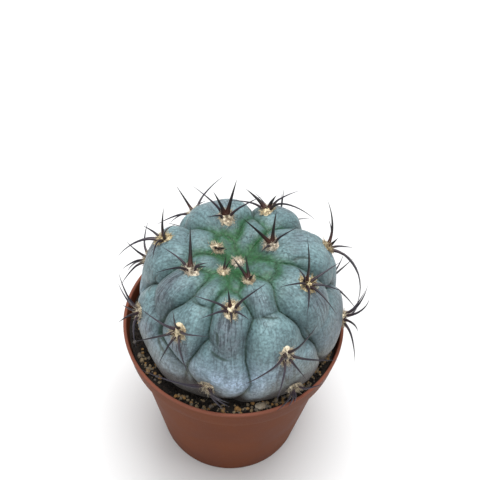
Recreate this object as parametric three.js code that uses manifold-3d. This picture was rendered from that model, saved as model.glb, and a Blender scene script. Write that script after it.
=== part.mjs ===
// A round blue-green cactus in its 8.5 cm nursery pot, in millimetres, +Z up.
// The origin is the middle of the pot's underside, where the pot stands. -Y is the front.
//
// A direction on the plant is two angles about the middle of its body: the azimuth, 0 at the
// front and rising towards +X, and the polar angle, 0 straight up and 90 at the waist.
import * as THREE from "three";
import { mergeVertices } from "three/addons/utils/BufferGeometryUtils.js";
import Module from "manifold-3d";

const DEG = Math.PI / 180;
const GAP = 0.3; // room between neighbouring pieces

// ---- Driving dimensions, in millimetres and degrees ----

// The pot is thin moulded plastic with a plain band round its mouth.
const POT_D = 85;
const POT_H = 70;
const WALL = 1.2;
const LIP_ROUND = 0.5;
const BAND_H = 9.7;
const BAND_LOWER_R = 41.1;
const SHOULDER_R = 39;
const FOOT_R = 30;
const FOOT_RING_W = 2.4;
const UNDER_DISC_R = 17;
const UNDER_STEP = 1.6; // how far the channel between the disc and the foot ring is raised
const DRAIN_HOLES = 8;
const DRAIN_D = 5.4;
const DRAIN_SIDES = 10;
const POT_SIDES = 44;

// The soil lies a little below the lip, with mineral grains in drifts near the wall.
const SOIL_Z = 65.6;
const SOIL_WAVE = 0.4;
const SOIL_SIDES = 40;
const GRAIN_R = [0.8, 1.25];
const GRAIN_SHOWS = 0.35; // of a grain's radius, how far its middle is above the soil
const GRAIN_SEED = 4711;
// One row is one drift of grains: its first and last azimuth, and how many.
const GRAIN_DRIFTS = [
  [-74, -40, 9],
  [-36, 34, 11],
  [40, 80, 7],
  [90, 276, 9],
];
const STONE = { azimuth: 17, out: 37.4, long: 2.4, wide: 1.5, tall: 1.1 };

// The body is a squarish ball with a sunken crown, and a taproot in the soil.
const CENTRE = new THREE.Vector3(1, 0, 74);
const GIRTH = 33.6;
const CROWN = 36;
const UNDER = 17;
const SQUARENESS = 2.5;
const DIP = 6;
const DIP_WIDTH = 24;
const TAPROOT = 20;
const TAPROOT_WIDTH = 13;
const BODY_SIDES = 68;
const SKIN_ROWS = [6, 110, 23]; // polar angle of the first and the last row, and how many
const BURIED_ROWS = [122, 140, 157, 169];
const BED_TOP = 94; // the hollow in the soil follows the skin from this row down

// Tubercles rib by rib: azimuth and polar angle of the middle of each swelling, and how many
// millimetres it pushes its neighbours back.
const RIBS = [
  [[-12, 43, 1], [-16, 61, -1]],
  [[28, 27, -0.5], [25, 51, -1], [38, 95, 0.5]],
  [[63, 34, 3.5], [76, 80, 2.5]],
  [[101, 33, 5], [113, 62, 0], [112, 98, 0]],
  [[146, 40, 0.5], [157, 84, 0]],
  [[-161, 33, 2.5], [-160, 64, 0], [-160, 98, 0]],
  [[-118, 21, -2], [-101, 48, 1.5], [-104, 76, 1.5]],
  [[-52, 39, -1], [-72, 74, 0], [-40, 92, 0]],
  [[-28, 35, -1.5], [-29, 49, 2.5]],
  [[59, 22, 0.5]],
  [[-74, 18, -4.5]],
  [[161, 19, -1.5]],
  [[-2, 22, -5.5]],
  [[-135, 15, -3]],
];
const STRETCH = 0.75; // a swelling reaches further up and down than across
const WAVE = 0.55; // how far a furrow wanders to either side
const WAVE_LENGTH = 11;
const WAVE_START = [300, 240, 210];
const SWELL_CROWN = 2.4;
const SWELL_SIDE = 5.1;
const SWELL_SOIL = 2.6;
const CHIN = 1.2;
const CHIN_WIDTH = 8;
const FURROW_W = 12; // how far the furrow between two ribs reaches up its banks
const NOTCH_W = 6; // the same for the notch between two swellings of one rib
const NOTCH_DEPTH = 0.35; // a notch's depth as a share of a furrow's
const FLANK_FADE = 0.55; // how much of a furrow's depth is lost on the flank
const FLANK = [52, 80]; // polar angles between which it is lost
const NOTCH_FADE = [45, 65]; // polar angles between which a notch's whole depth is lost
// One side of the flank is flatter, most at an azimuth, between these polar angles.
const FLAT_DEPTH = 2.4;
const FLAT_AT = -92;
const FLAT_WIDTH = 38;
const FLAT_FROM = [40, 75];
const FLAT_TO = [105, 130];

// Areoles: where each sits, its size if it isn't full-grown, how much wider than long its wool
// is drawn, and its spines. A spine is its bearing round the areole (0 towards the crown, 90 to
// the right), its rise off the skin, its length, and how far it bends back towards the skin.
const AREOLES = [
  {
    at: [-161, 25],
    spines: [
      [138, 35, 16, 25], [-144, 62, 14, 12], [-87, 45, 15, 15], [81, 35, 8, 20],
      [150, 55, 10, 15],
    ],
  },
  {
    at: [156, 36],
    spines: [
      [87, 60, 10, 10], [-99, 50, 6, 10], [-117, 25, 13, 25], [-69, 30, 26, 70],
      [66, 35, 15, 30],
    ],
  },
  {
    at: [-103, 41],
    spines: [
      [-24, 60, 12, 10], [-150, 30, 10, 25], [25, 38, 20, 20], [159, 30, 19, 60],
      [168, 25, 12, 35], [72, 25, 16, 30],
    ],
  },
  {
    at: [-64, 29],
    wide: 1.4,
    spines: [
      [-72, 65, 14, 10], [-138, 30, 12, 20], [162, 25, 16, 25], [15, 25, 6, 20], [50, 30, 6, 20],
    ],
  },
  { at: [-111, 15], size: 0.7, spines: [[60, 60, 5, 10], [10, 50, 4, 10], [117, 50, 5, 10]] },
  {
    at: [110, 19],
    size: 0.85,
    wide: 1.2,
    spines: [[51, 60, 14, 8], [144, 55, 12, 8], [-165, 35, 12, 15], [-39, 35, 6, 20]],
  },
  { at: [-38, 15], size: 0.6, spines: [[-45, 60, 5, 5], [-6, 50, 4, 5]] },
  { at: [18, 20], size: 0.7, spines: [[-33, 60, 9, 5], [21, 60, 8, 5], [156, 50, 4, 5]] },
  {
    at: [63, 38],
    wide: 1.3,
    spines: [
      [6, 60, 19, 15], [111, 35, 13, 20], [-21, 40, 9, 10], [-57, 25, 16, 20], [159, 25, 12, 25],
      [-105, 25, 16, 20], [-156, 25, 14, 25],
    ],
  },
  {
    at: [113, 57],
    spines: [
      [54, 50, 17, 40], [-24, 50, 6, 10], [171, 30, 14, 10], [-105, 38, 30, 105],
      [-141, 30, 15, 44], [110, 30, 15, 30],
    ],
  },
  {
    at: [-5, 36],
    spines: [
      [-24, 60, 7, 5], [60, 40, 15, 10], [-87, 25, 13, 15], [-129, 25, 12, 15], [126, 25, 8, 15],
      [171, 20, 8, 15],
    ],
  },
  {
    at: [-34, 53],
    spines: [
      [6, 40, 14, 10], [-75, 30, 14, 15], [56, 25, 18, 15], [-129, 25, 16, 15],
      [-177, 25, 12, 15], [129, 25, 14, 30],
    ],
  },
  {
    at: [28, 61],
    spines: [
      [18, 35, 22, 15], [-34, 45, 16, 15], [111, 25, 18, 20], [-72, 30, 25, 15],
      [156, 25, 11, 15], [-135, 35, 15, 15],
    ],
  },
  {
    at: [-70, 69],
    spines: [
      [-11, 30, 20, 15], [-120, 30, 8, 15], [50, 45, 16, 20], [75, 25, 17, 25],
      [-80, 30, 13, 20],
    ],
  },
  {
    at: [-14, 82],
    spines: [
      [-60, 25, 25, 15], [78, 25, 11, 20], [-36, 30, 16, 10], [114, 25, 10, 20],
      [45, 25, 17, 15],
    ],
  },
  {
    at: [33, 89],
    spines: [[-75, 30, 12, 15], [-40, 45, 9, 15], [40, 30, 11, 15], [-60, 45, 9, 20]],
  },
  {
    at: [80, 79],
    spines: [
      [54, 40, 12, 20], [25, 45, 16, 40], [-12, 45, 20, 45], [-50, 30, 18, 30],
      [-126, 30, 16, 25], [120, 30, 14, 30],
    ],
  },
  {
    at: [-110, 70],
    spines: [
      [-174, 35, 18, 25], [-60, 35, 14, 30], [70, 30, 13, 25], [20, 45, 12, 20],
      [130, 30, 14, 25],
    ],
  },
  {
    at: [-150, 62],
    spines: [
      [-71, 30, 19, 28], [119, 25, 16, 21], [150, 30, 14, 30], [20, 62, 12, 10],
      [-130, 30, 14, 25],
    ],
  },
];
// Areoles on the far side, whose spines follow the plant's common pattern.
const FAR_AREOLES = [[-160, 90], [157, 76], [116, 92]];
const FAR_RADIALS = 5;
const FAR_RISE = [24, 36];
const FAR_LENGTH = [12, 18];
const FAR_BEND = [18, 34];
const FAR_SWAY = 12;
const FAR_CENTRAL = [20, 62, 14, 10];
const FAR_SEED = 90210;

const SPINE_R = 0.55;
const STOUT_R = 0.85; // a spine that stands up is stouter
const STOUT_RISE = 50;
const SPINE_TAPER = 0.85;
const SPINE_SIDES = 3;
const SPINE_STEPS = 3;
const STRAIGHT_STEPS = 2; // of a spine that hardly bends
const STRAIGHT_BEND = 15;
const ROOT_H = 1.3; // height above the skin where the spines of an areole meet
const ROOT_OUT = 0.7; // and how far from the areole's middle a spine starts
const HUB_R = 1.15;
const HUB_TOP = 2.1;
const HUB_SIDES = 5;
const WOOL_ACROSS = 2.7;
const WOOL_ALONG = 3.5;
const WOOL_H = 1.1;
const WOOL_SIDES = 8;
const WOOL_RIPPLE = 0.12;
const TUFT = { at: [-20, 3], r: 1.9, h: 1.5 }; // wool in the middle of the crown

// ---- Solids ----

const wasm = await Module();
wasm.setup();

// A closed geometry as a solid that can be joined and cut.
function toSolid(geometry) {
  const bare = geometry.clone();
  bare.deleteAttribute("normal");
  bare.deleteAttribute("uv");
  const merged = mergeVertices(bare, 1e-4);
  return new wasm.Manifold(
    new wasm.Mesh({
      numProp: 3,
      vertProperties: merged.attributes.position.array,
      triVerts: new Uint32Array(merged.index.array),
    }),
  );
}

// The largest body of a solid as a geometry: a cut may shave off loose crumbs.
function toGeometry(solid) {
  const bodies = solid.decompose().sort((a, b) => b.volume() - a.volume());
  const mesh = bodies[0].getMesh();
  const geometry = new THREE.BufferGeometry()
    .setAttribute("position", new THREE.BufferAttribute(mesh.vertProperties, 3))
    .setIndex(new THREE.BufferAttribute(mesh.triVerts, 1));
  geometry.computeVertexNormals();
  return geometry;
}

function geometryOf(points, faces) {
  const geometry = new THREE.BufferGeometry().setFromPoints(points);
  geometry.setIndex(faces);
  return geometry;
}

// Rings stacked along an axis, each counter-clockwise seen from the last one, closed by a point
// at either end. Of a square's two diagonals it draws the one whose ends are nearer the origin,
// so that a groove runs unbroken.
function stacked(rings, first, last) {
  const n = rings[0].length;
  const points = [first, ...rings.flat(), last];
  const faces = [];
  const at = (i, j) => 1 + i * n + (j % n);
  const depth = (a, b) => points[a].length() + points[b].length();
  for (let j = 0; j < n; j++) {
    faces.push(0, at(0, j + 1), at(0, j));
    for (let i = 0; i + 1 < rings.length; i++) {
      const [a, b, c, d] = [at(i, j), at(i, j + 1), at(i + 1, j), at(i + 1, j + 1)];
      if (depth(b, c) < depth(a, d)) faces.push(a, b, c, c, b, d);
      else faces.push(a, b, d, a, d, c);
    }
    faces.push(points.length - 1, at(rings.length - 1, j), at(rings.length - 1, j + 1));
  }
  return geometryOf(points, faces);
}

// Closed sections set round an axis, counter-clockwise, which close on themselves.
function ringed(sections) {
  const n = sections.length;
  const m = sections[0].length;
  const faces = [];
  const at = (i, j) => (i % n) * m + (j % m);
  for (let i = 0; i < n; i++)
    for (let j = 0; j < m; j++) {
      faces.push(at(i, j), at(i + 1, j), at(i, j + 1));
      faces.push(at(i, j + 1), at(i + 1, j), at(i + 1, j + 1));
    }
  return geometryOf(sections.flat(), faces);
}

// A seeded row of numbers from 0 to 1.
function draws(seed) {
  let x = seed;
  return () => {
    x = (48271 * x) % 2147483647;
    return x / 2147483647;
  };
}

const between = ([low, high], t) => low + (high - low) * t;

const range = (n) => Array.from({ length: n }, (_, k) => k);

// ---- The body's skin ----

const smooth = THREE.MathUtils.smoothstep;

function direction(azimuth, polar) {
  const out = Math.sin(polar * DEG);
  return new THREE.Vector3(
    out * Math.sin(azimuth * DEG),
    -out * Math.cos(azimuth * DEG),
    Math.cos(polar * DEG),
  );
}

// Distance from the middle of the body to its smooth core: a rounded square in section, less the
// dip of the crown, plus the taproot.
function coreRadius(polar) {
  const side = Math.abs(Math.sin(polar * DEG)) / GIRTH;
  const end = Math.abs(Math.cos(polar * DEG)) / (polar < 90 ? CROWN : UNDER);
  const ball = (side ** SQUARENESS + end ** SQUARENESS) ** (-1 / SQUARENESS);
  const dip = DIP * Math.exp(-((polar / DIP_WIDTH) ** 2));
  const root = TAPROOT * Math.exp(-(((180 - polar) / TAPROOT_WIDTH) ** 2));
  return ball - dip + root;
}

const corePoint = (azimuth, polar) => direction(azimuth, polar).multiplyScalar(coreRadius(polar));

const SWELLINGS = RIBS.flatMap((rib, index) =>
  rib.map(([azimuth, polar, push]) => {
    const middle = corePoint(azimuth, polar);
    const down = corePoint(azimuth, polar + 0.1).sub(middle).normalize();
    return { middle, down, push, rib: index };
  }),
);

// A point shifted by a slow wave along each axis, so that furrows wander a little.
function wandered({ x, y, z }) {
  const wave = (v, k) => WAVE * Math.sin((v * 2 * Math.PI) / WAVE_LENGTH + WAVE_START[k] * DEG);
  return new THREE.Vector3(x + wave(y, 0), y + wave(z, 1), z + wave(x, 2));
}

// Distance to a swelling's middle, counted shorter up and down the rib, less the swelling's push.
function reach(point, { middle, down, push }) {
  const off = wandered(point).sub(middle);
  const along = off.dot(down);
  return Math.sqrt(Math.max(0, off.lengthSq() - (1 - STRETCH ** 2) * along ** 2)) - push;
}

// A quarter-round bank: 0 in the bottom of a furrow, 1 on top of the swelling.
function bank(t) {
  const s = THREE.MathUtils.clamp(t, 0, 1);
  return Math.sqrt(1 - (1 - s) ** 2);
}

function swellHeight(polar) {
  const side = SWELL_CROWN + (SWELL_SIDE - SWELL_CROWN) * smooth(polar, 8, 50);
  const low = (SWELL_SIDE - SWELL_SOIL) * smooth(polar, 82, 108);
  return side - low - SWELL_SOIL * smooth(polar, 112, 150);
}

function flatSide(azimuth, polar) {
  const turn = THREE.MathUtils.euclideanModulo(azimuth - FLAT_AT + 180, 360) - 180;
  const rows = smooth(polar, ...FLAT_FROM) * (1 - smooth(polar, ...FLAT_TO));
  return FLAT_DEPTH * Math.exp(-((turn / FLAT_WIDTH) ** 2)) * rows;
}

// The skin stands out over each swelling and drops into a furrow where two are equally near.
function skinRadius(azimuth, polar) {
  const point = corePoint(azimuth, polar);
  const near = SWELLINGS.map((s) => reach(point, s));
  const first = near.indexOf(Math.min(...near));
  const height = swellHeight(polar);
  const notch = NOTCH_DEPTH * (1 - smooth(polar, ...NOTCH_FADE));
  const furrow = 1 - FLANK_FADE * smooth(polar, ...FLANK);
  let share = 1;
  SWELLINGS.forEach((other, k) => {
    if (k === first) return;
    const sameRib = other.rib === SWELLINGS[first].rib;
    const rise = bank((near[k] - near[first]) / (sameRib ? NOTCH_W : FURROW_W));
    share *= 1 - (sameRib ? notch : furrow) * (1 - rise);
  });
  const chin = CHIN * Math.exp(-((Math.max(near[first], 0) / CHIN_WIDTH) ** 2));
  const core = coreRadius(polar) - flatSide(azimuth, polar);
  return core + height * share + (chin * height) / SWELL_SIDE;
}

const skin = (azimuth, polar) => direction(azimuth, polar).multiplyScalar(skinRadius(azimuth, polar));

function anglesOf(point) {
  return [
    Math.atan2(point.x, -point.y) / DEG,
    Math.acos(point.z / point.length()) / DEG,
  ];
}

const skinClearance = (point) => point.length() - skinRadius(...anglesOf(point));

// ---- Pot ----

function potGeometry() {
  const lipR = POT_D / 2;
  const bandZ = POT_H - BAND_H;
  const channel = [UNDER_DISC_R + 1, FOOT_R - 1 - FOOT_RING_W];
  const floor = WALL;
  const outer = [
    [0, 0],
    [UNDER_DISC_R, 0],
    [channel[0], UNDER_STEP],
    [channel[1], UNDER_STEP],
    [FOOT_R - FOOT_RING_W, 0],
    [FOOT_R - LIP_ROUND, 0],
    [FOOT_R, LIP_ROUND],
    [SHOULDER_R, bandZ],
    [BAND_LOWER_R - LIP_ROUND / 2, bandZ],
    [BAND_LOWER_R, bandZ + LIP_ROUND],
    [lipR, POT_H - 2 * LIP_ROUND],
    [lipR - 0.15, POT_H - LIP_ROUND / 2],
    [lipR - LIP_ROUND, POT_H],
  ];
  const inner = [
    [lipR - WALL + 0.1, POT_H],
    [lipR - WALL - 0.1, POT_H - LIP_ROUND],
    [BAND_LOWER_R - WALL, bandZ + WALL],
    [SHOULDER_R - WALL, bandZ + WALL],
    [FOOT_R - WALL, UNDER_STEP + floor],
    [channel[0] + 0.4, UNDER_STEP + floor],
    [UNDER_DISC_R - 0.6, floor],
    [0, floor],
  ];
  const profile = [...outer, ...inner].map(([r, z]) => new THREE.Vector2(r, z));
  const shell = new THREE.LatheGeometry(profile, POT_SIDES).rotateX(90 * DEG);
  let solid = toSolid(shell);
  const holeR = (channel[0] + channel[1]) / 2;
  for (const k of range(DRAIN_HOLES)) {
    const drill = new THREE.CylinderGeometry(DRAIN_D / 2, DRAIN_D / 2, 4 * WALL, DRAIN_SIDES);
    const turn = (k + 0.5) * (360 / DRAIN_HOLES) * DEG;
    drill.rotateX(90 * DEG);
    drill.translate(holeR * Math.cos(turn), holeR * Math.sin(turn), UNDER_STEP + floor / 2);
    solid = solid.subtract(toSolid(drill));
  }
  return toGeometry(solid);
}

// ---- Cactus body ----

// A direction slid by at most a given distance into the furrow beside it, where it is equally
// far from two swellings.
function slid(azimuth, polar, most) {
  const point = corePoint(azimuth, polar);
  const near = SWELLINGS.map((s) => ({ ...s, far: reach(point, s) }));
  const [first, second] = near.sort((a, b) => a.far - b.far);
  const across = second.middle.clone().sub(first.middle).normalize();
  const aim = (second.far - first.far) / 2 / Math.hypot(1, (STRETCH - 1) * across.dot(first.down));
  if (aim > 2 * most) return [azimuth, polar];
  return anglesOf(point.addScaledVector(across, Math.min(aim, most)));
}

// The skin as rows of points from the root tip up to a first row and the crown, held off by a
// given distance.
function bodyGeometry(off, firstRow) {
  const [top, low, count] = SKIN_ROWS;
  const step = (low - top) / (count - 1);
  const rows = range(count).map((k) => top + k * step);
  const polars = [...rows, ...BURIED_ROWS].filter((polar) => polar >= firstRow).reverse();
  const held = (azimuth, polar) => {
    const side = (2 * Math.PI * corePoint(90, polar).x) / BODY_SIDES;
    const cell = Math.min(GIRTH * step * DEG, Math.abs(side));
    const angles = polar > low || polar === 0 ? [azimuth, polar] : slid(azimuth, polar, 0.4 * cell);
    return direction(...angles).multiplyScalar(skinRadius(...angles) + off);
  };
  const around = range(BODY_SIDES).map((k) => (k * 360) / BODY_SIDES);
  const rings = polars.map((polar) => around.map((azimuth) => held(azimuth, polar)));
  return stacked(rings, held(0, 180), held(0, 0));
}

const keptOff = toSolid(bodyGeometry(GAP, 0));

// What lies on the skin, less whatever comes nearer to it than the gap.
const offSkin = (solid) => toGeometry(solid.subtract(keptOff));

// ---- Soil ----

const soilTop = (azimuth, out) =>
  SOIL_Z + SOIL_WAVE * (Math.sin(5 * azimuth * DEG) + Math.sin(11 * azimuth * DEG + out)) * 0.5;

// Radius of the soil at a height: the pot's inner wall less the gap.
function soilRadius(z) {
  const bandZ = POT_H - BAND_H;
  const lower = FOOT_R + ((SHOULDER_R - FOOT_R) * z) / bandZ;
  const upper = BAND_LOWER_R + ((POT_D / 2 - BAND_LOWER_R) * (z - bandZ)) / BAND_H;
  return (z < bandZ + WALL ? lower : upper) - WALL - GAP;
}

function soilGeometry(body, stone) {
  const shelf = POT_H - BAND_H + WALL + GAP;
  const bottom = UNDER_STEP + WALL + GAP;
  const sunk = [
    [UNDER_DISC_R - 0.8, WALL + GAP],
    [UNDER_DISC_R + 0.9, bottom],
    [soilRadius(bottom) - 0.2, bottom],
    [soilRadius(shelf - 2 * GAP) - 0.2, shelf],
    [BAND_LOWER_R - WALL - GAP, shelf],
  ];
  const open = [soilRadius(SOIL_Z), soilRadius(SOIL_Z) - 2.5, soilRadius(SOIL_Z) - 6];
  const around = (radius, height) =>
    range(SOIL_SIDES).map((k) => {
      const azimuth = (k * 360) / SOIL_SIDES;
      const flat = direction(azimuth, 90).multiplyScalar(radius);
      return flat.setZ(height(azimuth, radius));
    });
  const rings = [
    ...sunk.map(([radius, z]) => around(radius, () => z)),
    ...open.map((radius) => around(radius, soilTop)),
  ];
  const base = new THREE.Vector3(0, 0, WALL + GAP);
  let solid = toSolid(stacked(rings, base, new THREE.Vector3(0, 0, SOIL_Z)));
  for (const grain of grains()) solid = solid.add(toSolid(grain));
  return toGeometry(solid.subtract(toSolid(body)).subtract(toSolid(stone)));
}

// Mineral grains, half sunk in the soil between the plant and the pot's wall.
function grains() {
  const draw = draws(GRAIN_SEED);
  return GRAIN_DRIFTS.flatMap(([first, last, count]) =>
    range(count).map((k) => {
      const azimuth = between([first, last], (k + draw()) / count);
      const r = between(GRAIN_R, draw());
      const room = soilRadius(SOIL_Z) - r - 0.3;
      const out = between([room - 3, room], Math.sqrt(draw()));
      const grain = new THREE.IcosahedronGeometry(r, 0);
      grain.scale(1, 0.85, 0.75);
      grain.rotateX(draw() * Math.PI);
      grain.rotateZ(draw() * Math.PI);
      const place = direction(azimuth, 90).multiplyScalar(out);
      return grain.translate(place.x, place.y, soilTop(azimuth, out) + GRAIN_SHOWS * r);
    }),
  );
}

// A flat pale stone that lies half in the soil, with room round it when it cuts its own bed.
function stoneGeometry(room) {
  const stone = new THREE.IcosahedronGeometry(1, 1);
  stone.scale(STONE.long + room, STONE.wide + room, STONE.tall + room);
  stone.rotateZ(STONE.azimuth * DEG);
  const place = direction(STONE.azimuth, 90).multiplyScalar(STONE.out);
  return stone.translate(place.x, place.y, SOIL_Z + 0.4);
}

// ---- Areoles ----

// Where an areole sits: its point on the skin, and the directions out, towards the crown and
// to the right of someone who faces it.
function areoleFrame([azimuth, polar]) {
  const point = skin(azimuth, polar);
  const step = 2 / point.length() / DEG;
  const turn = step / Math.sin(polar * DEG);
  const down = skin(azimuth, polar + step).sub(skin(azimuth, polar - step));
  const round = skin(azimuth + turn, polar).sub(skin(azimuth - turn, polar));
  const out = down.clone().cross(round).normalize();
  const up = down.negate();
  up.addScaledVector(out, -up.dot(out)).normalize();
  return { point, out, up, right: up.clone().cross(out) };
}

function towards(frame, bearing) {
  const side = frame.right.clone().multiplyScalar(Math.sin(bearing * DEG));
  return side.addScaledVector(frame.up, Math.cos(bearing * DEG));
}

// A point over the skin, at a distance and bearing from the areole and a height above the skin.
function overSkin(frame, bearing, distance, height) {
  const flat = frame.point.clone().addScaledVector(towards(frame, bearing), distance);
  return skin(...anglesOf(flat)).addScaledVector(frame.out, height);
}

// The wool is a low ripple-edged ring that follows the skin, round the roots of the spines.
function woolGeometry(areole) {
  const { frame, size, wide } = areole;
  const hole = (HUB_R + GAP) * size;
  const sections = range(WOOL_SIDES).map((k) => {
    const bearing = (-k * 360) / WOOL_SIDES;
    const wave = 1 + WOOL_RIPPLE * Math.sin(3 * k + areole.number);
    const oval = Math.hypot(
      WOOL_ACROSS * wide * Math.sin(bearing * DEG),
      (WOOL_ALONG / Math.sqrt(wide)) * Math.cos(bearing * DEG),
    );
    const edge = Math.max(oval * wave * size, hole + 0.6);
    const height = WOOL_H * Math.min(1, size + 0.15);
    return [
      overSkin(frame, bearing, edge, GAP),
      overSkin(frame, bearing, (hole + 2 * edge) / 3, height),
      overSkin(frame, bearing, hole + 0.1, height),
      overSkin(frame, bearing, hole, GAP),
    ];
  });
  return offSkin(toSolid(ringed(sections)));
}

// The tuft in the middle of the crown is a plain cap of wool, cut to the skin that it lies on.
function tuftGeometry() {
  const frame = areoleFrame(TUFT.at);
  const ring = (share, height) =>
    range(WOOL_SIDES).map((k) => {
      const wave = 1 + 2 * WOOL_RIPPLE * Math.sin(2.3 * k);
      return overSkin(frame, (-k * 360) / WOOL_SIDES, TUFT.r * wave * share, height);
    });
  const rings = [ring(1, -GAP), ring(0.7, TUFT.h)];
  const top = frame.point.clone().addScaledVector(frame.out, TUFT.h + GAP);
  const cap = stacked(rings, frame.point.clone().addScaledVector(frame.out, -GAP), top);
  return offSkin(toSolid(cap));
}

// A spine's middle line is an arc that leaves the hub at its rise and bends back by its bend.
function spinePoint(areole, spine, t) {
  const [bearing, rise, length, bend] = spine;
  const start = rise * DEG;
  const end = (rise - bend * t) * DEG;
  const radius = length / (bend * DEG);
  const along = radius * (Math.sin(start) - Math.sin(end));
  const up = radius * (Math.cos(end) - Math.cos(start));
  return areole.frame.point
    .clone()
    .addScaledVector(areole.frame.out, ROOT_H * areole.size + up)
    .addScaledVector(towards(areole.frame, bearing), ROOT_OUT * areole.size + along);
}

const spineRadius = (areole, spine, t) =>
  (spine[1] < STOUT_RISE ? SPINE_R : STOUT_R) * Math.sqrt(areole.size) * (1 - t) ** SPINE_TAPER;

// A spine keeps clear of the skin, the soil, the pot's lip, other areoles and their spines. It is
// turned a little, then lifted, then grows shorter, until it does, or else it isn't there.
const SAMPLES = 12;
const SKIN_ROOM = 0.9;
const SPINE_ROOM = 1.7;
const AREOLE_ROOM = 4.4;
const SOIL_ROOM = 1.6;
const LIP_ROOM = 1.6;
const LIP_BAND = [37, POT_D / 2 + 1.6];
const TURNS = [0, 6, -6, 12, -12];
const LIFTS = [0, 5, 10, 15, 20, 25, 30, 35, 40];
const GROWTHS = [1, 0.85, 0.7, 0.55];

function isClear(areole, spine, others) {
  return range(SAMPLES).every((k) => {
    const t = (k + 1) / SAMPLES;
    const point = spinePoint(areole, spine, t);
    if (t > 0.25 && skinClearance(point) < SKIN_ROOM) return false;
    const world = point.clone().add(CENTRE);
    const out = Math.hypot(world.x, world.y);
    if (world.z < SOIL_Z + SOIL_ROOM && out < LIP_BAND[1]) return false;
    if (world.z < POT_H + LIP_ROOM && out > LIP_BAND[0] && out < LIP_BAND[1]) return false;
    return others.every(
      (other) =>
        other.frame.point.distanceTo(point) > AREOLE_ROOM * other.size &&
        other.trail.every((p) => p.distanceTo(point) > SPINE_ROOM),
    );
  });
}

function clearSpine(areole, [bearing, rise, length, bend], others) {
  for (const growth of GROWTHS)
    for (const lift of LIFTS)
      for (const turn of TURNS) {
        const spine = [bearing + turn, rise + lift, length * growth, bend];
        if (isClear(areole, spine, others)) return spine;
      }
  return null;
}

// Spines of the common pattern: an even round of radials with a little sway, and one central.
function commonSpines(draw) {
  const radials = range(FAR_RADIALS).map((k) => [
    (k * 360) / FAR_RADIALS + between([-FAR_SWAY, FAR_SWAY], draw()),
    between(FAR_RISE, draw()),
    between(FAR_LENGTH, draw()),
    between(FAR_BEND, draw()),
  ]);
  return [FAR_CENTRAL, ...radials];
}

function placedAreoles() {
  const draw = draws(FAR_SEED);
  const far = FAR_AREOLES.map((at) => ({ at, spines: commonSpines(draw) }));
  const areoles = [...AREOLES, ...far].map((areole, k) => ({
    size: 1,
    wide: 1,
    ...areole,
    number: k + 1,
    frame: areoleFrame(areole.at),
    trail: [],
  }));
  for (const areole of areoles) {
    const others = areoles.filter((other) => other !== areole);
    areole.spines = areole.spines.map((spine) => clearSpine(areole, spine, others));
    areole.spines = areole.spines.filter((spine) => spine);
    areole.trail = areole.spines.flatMap((spine) =>
      range(SAMPLES).map((k) => spinePoint(areole, spine, (k + 1) / SAMPLES)),
    );
  }
  return areoles;
}

function spineGeometry(areole, spine) {
  const side = towards(areole.frame, spine[0] + 90);
  const steps = spine[3] > STRAIGHT_BEND ? SPINE_STEPS : STRAIGHT_STEPS;
  const rings = range(steps).map((k) => {
    const t = k / steps;
    const middle = spinePoint(areole, spine, t);
    const ahead = spinePoint(areole, spine, t + 0.01).sub(middle).normalize();
    const top = side.clone().cross(ahead).normalize();
    const across = ahead.clone().cross(top);
    const radius = spineRadius(areole, spine, t);
    return range(SPINE_SIDES).map((j) => {
      const turn = (j * 2 * Math.PI) / SPINE_SIDES;
      return middle
        .clone()
        .addScaledVector(top, radius * Math.cos(turn))
        .addScaledVector(across, radius * Math.sin(turn));
    });
  });
  return stacked(rings, spinePoint(areole, spine, 0), spinePoint(areole, spine, 1));
}

// The slim hub that the spines of an areole grow out of.
function hubGeometry({ frame, size }) {
  const ring = (share, height) =>
    range(HUB_SIDES).map((k) =>
      frame.point
        .clone()
        .addScaledVector(towards(frame, (-k * 360) / HUB_SIDES), HUB_R * share * size)
        .addScaledVector(frame.out, height),
    );
  const rings = [ring(1, GAP + 0.05), ring(1, ROOT_H * size), ring(0.6, HUB_TOP * size)];
  const bottom = frame.point.clone().addScaledVector(frame.out, GAP + 0.05);
  const top = frame.point.clone().addScaledVector(frame.out, (HUB_TOP + 0.2) * size);
  return stacked(rings, bottom, top);
}

function sprayGeometry(areole) {
  const hub = toSolid(hubGeometry(areole));
  const spray = areole.spines.reduce(
    (solid, spine) => solid.add(toSolid(spineGeometry(areole, spine))),
    hub,
  );
  return offSkin(spray);
}

// ---- Materials ----

const finish = (color, roughness) =>
  new THREE.MeshStandardMaterial({ color, roughness, metalness: 0 });

const TERRACOTTA_PLASTIC = finish(0x7a4a3d, 0.45);
const PEAT = finish(0x33261d, 0.95);
const PUMICE = finish(0xa8977c, 0.9);
const WAXY_SKIN = finish(0x7d949a, 0.55);
const WOOL = finish(0xd8c9a4, 0.95);
const HORN = finish(0x2b2024, 0.4);

// ---- Scene graph ----

function piece(name, geometry, material) {
  const mesh = new THREE.Mesh(geometry, material);
  mesh.name = name;
  return mesh;
}

const numbered = (name, k) => `${name}_${String(k).padStart(2, "0")}`;

const cactus = new THREE.Group();
cactus.position.copy(CENTRE);
cactus.add(piece("cactus_body", bodyGeometry(0, 0), WAXY_SKIN));
cactus.add(piece("crown_tuft", tuftGeometry(), WOOL));
for (const areole of placedAreoles()) {
  cactus.add(piece(numbered("wool", areole.number), woolGeometry(areole), WOOL));
  cactus.add(piece(numbered("spines", areole.number), sprayGeometry(areole), HORN));
}

const hollow = bodyGeometry(GAP, BED_TOP).translate(CENTRE.x, CENTRE.y, CENTRE.z);
const root = new THREE.Group();
root.add(piece("pot", potGeometry(), TERRACOTTA_PLASTIC));
root.add(piece("soil", soilGeometry(hollow, stoneGeometry(GAP)), PEAT));
root.add(piece("pale_stone", stoneGeometry(0), PUMICE));
root.add(cactus);

export default root;
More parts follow.
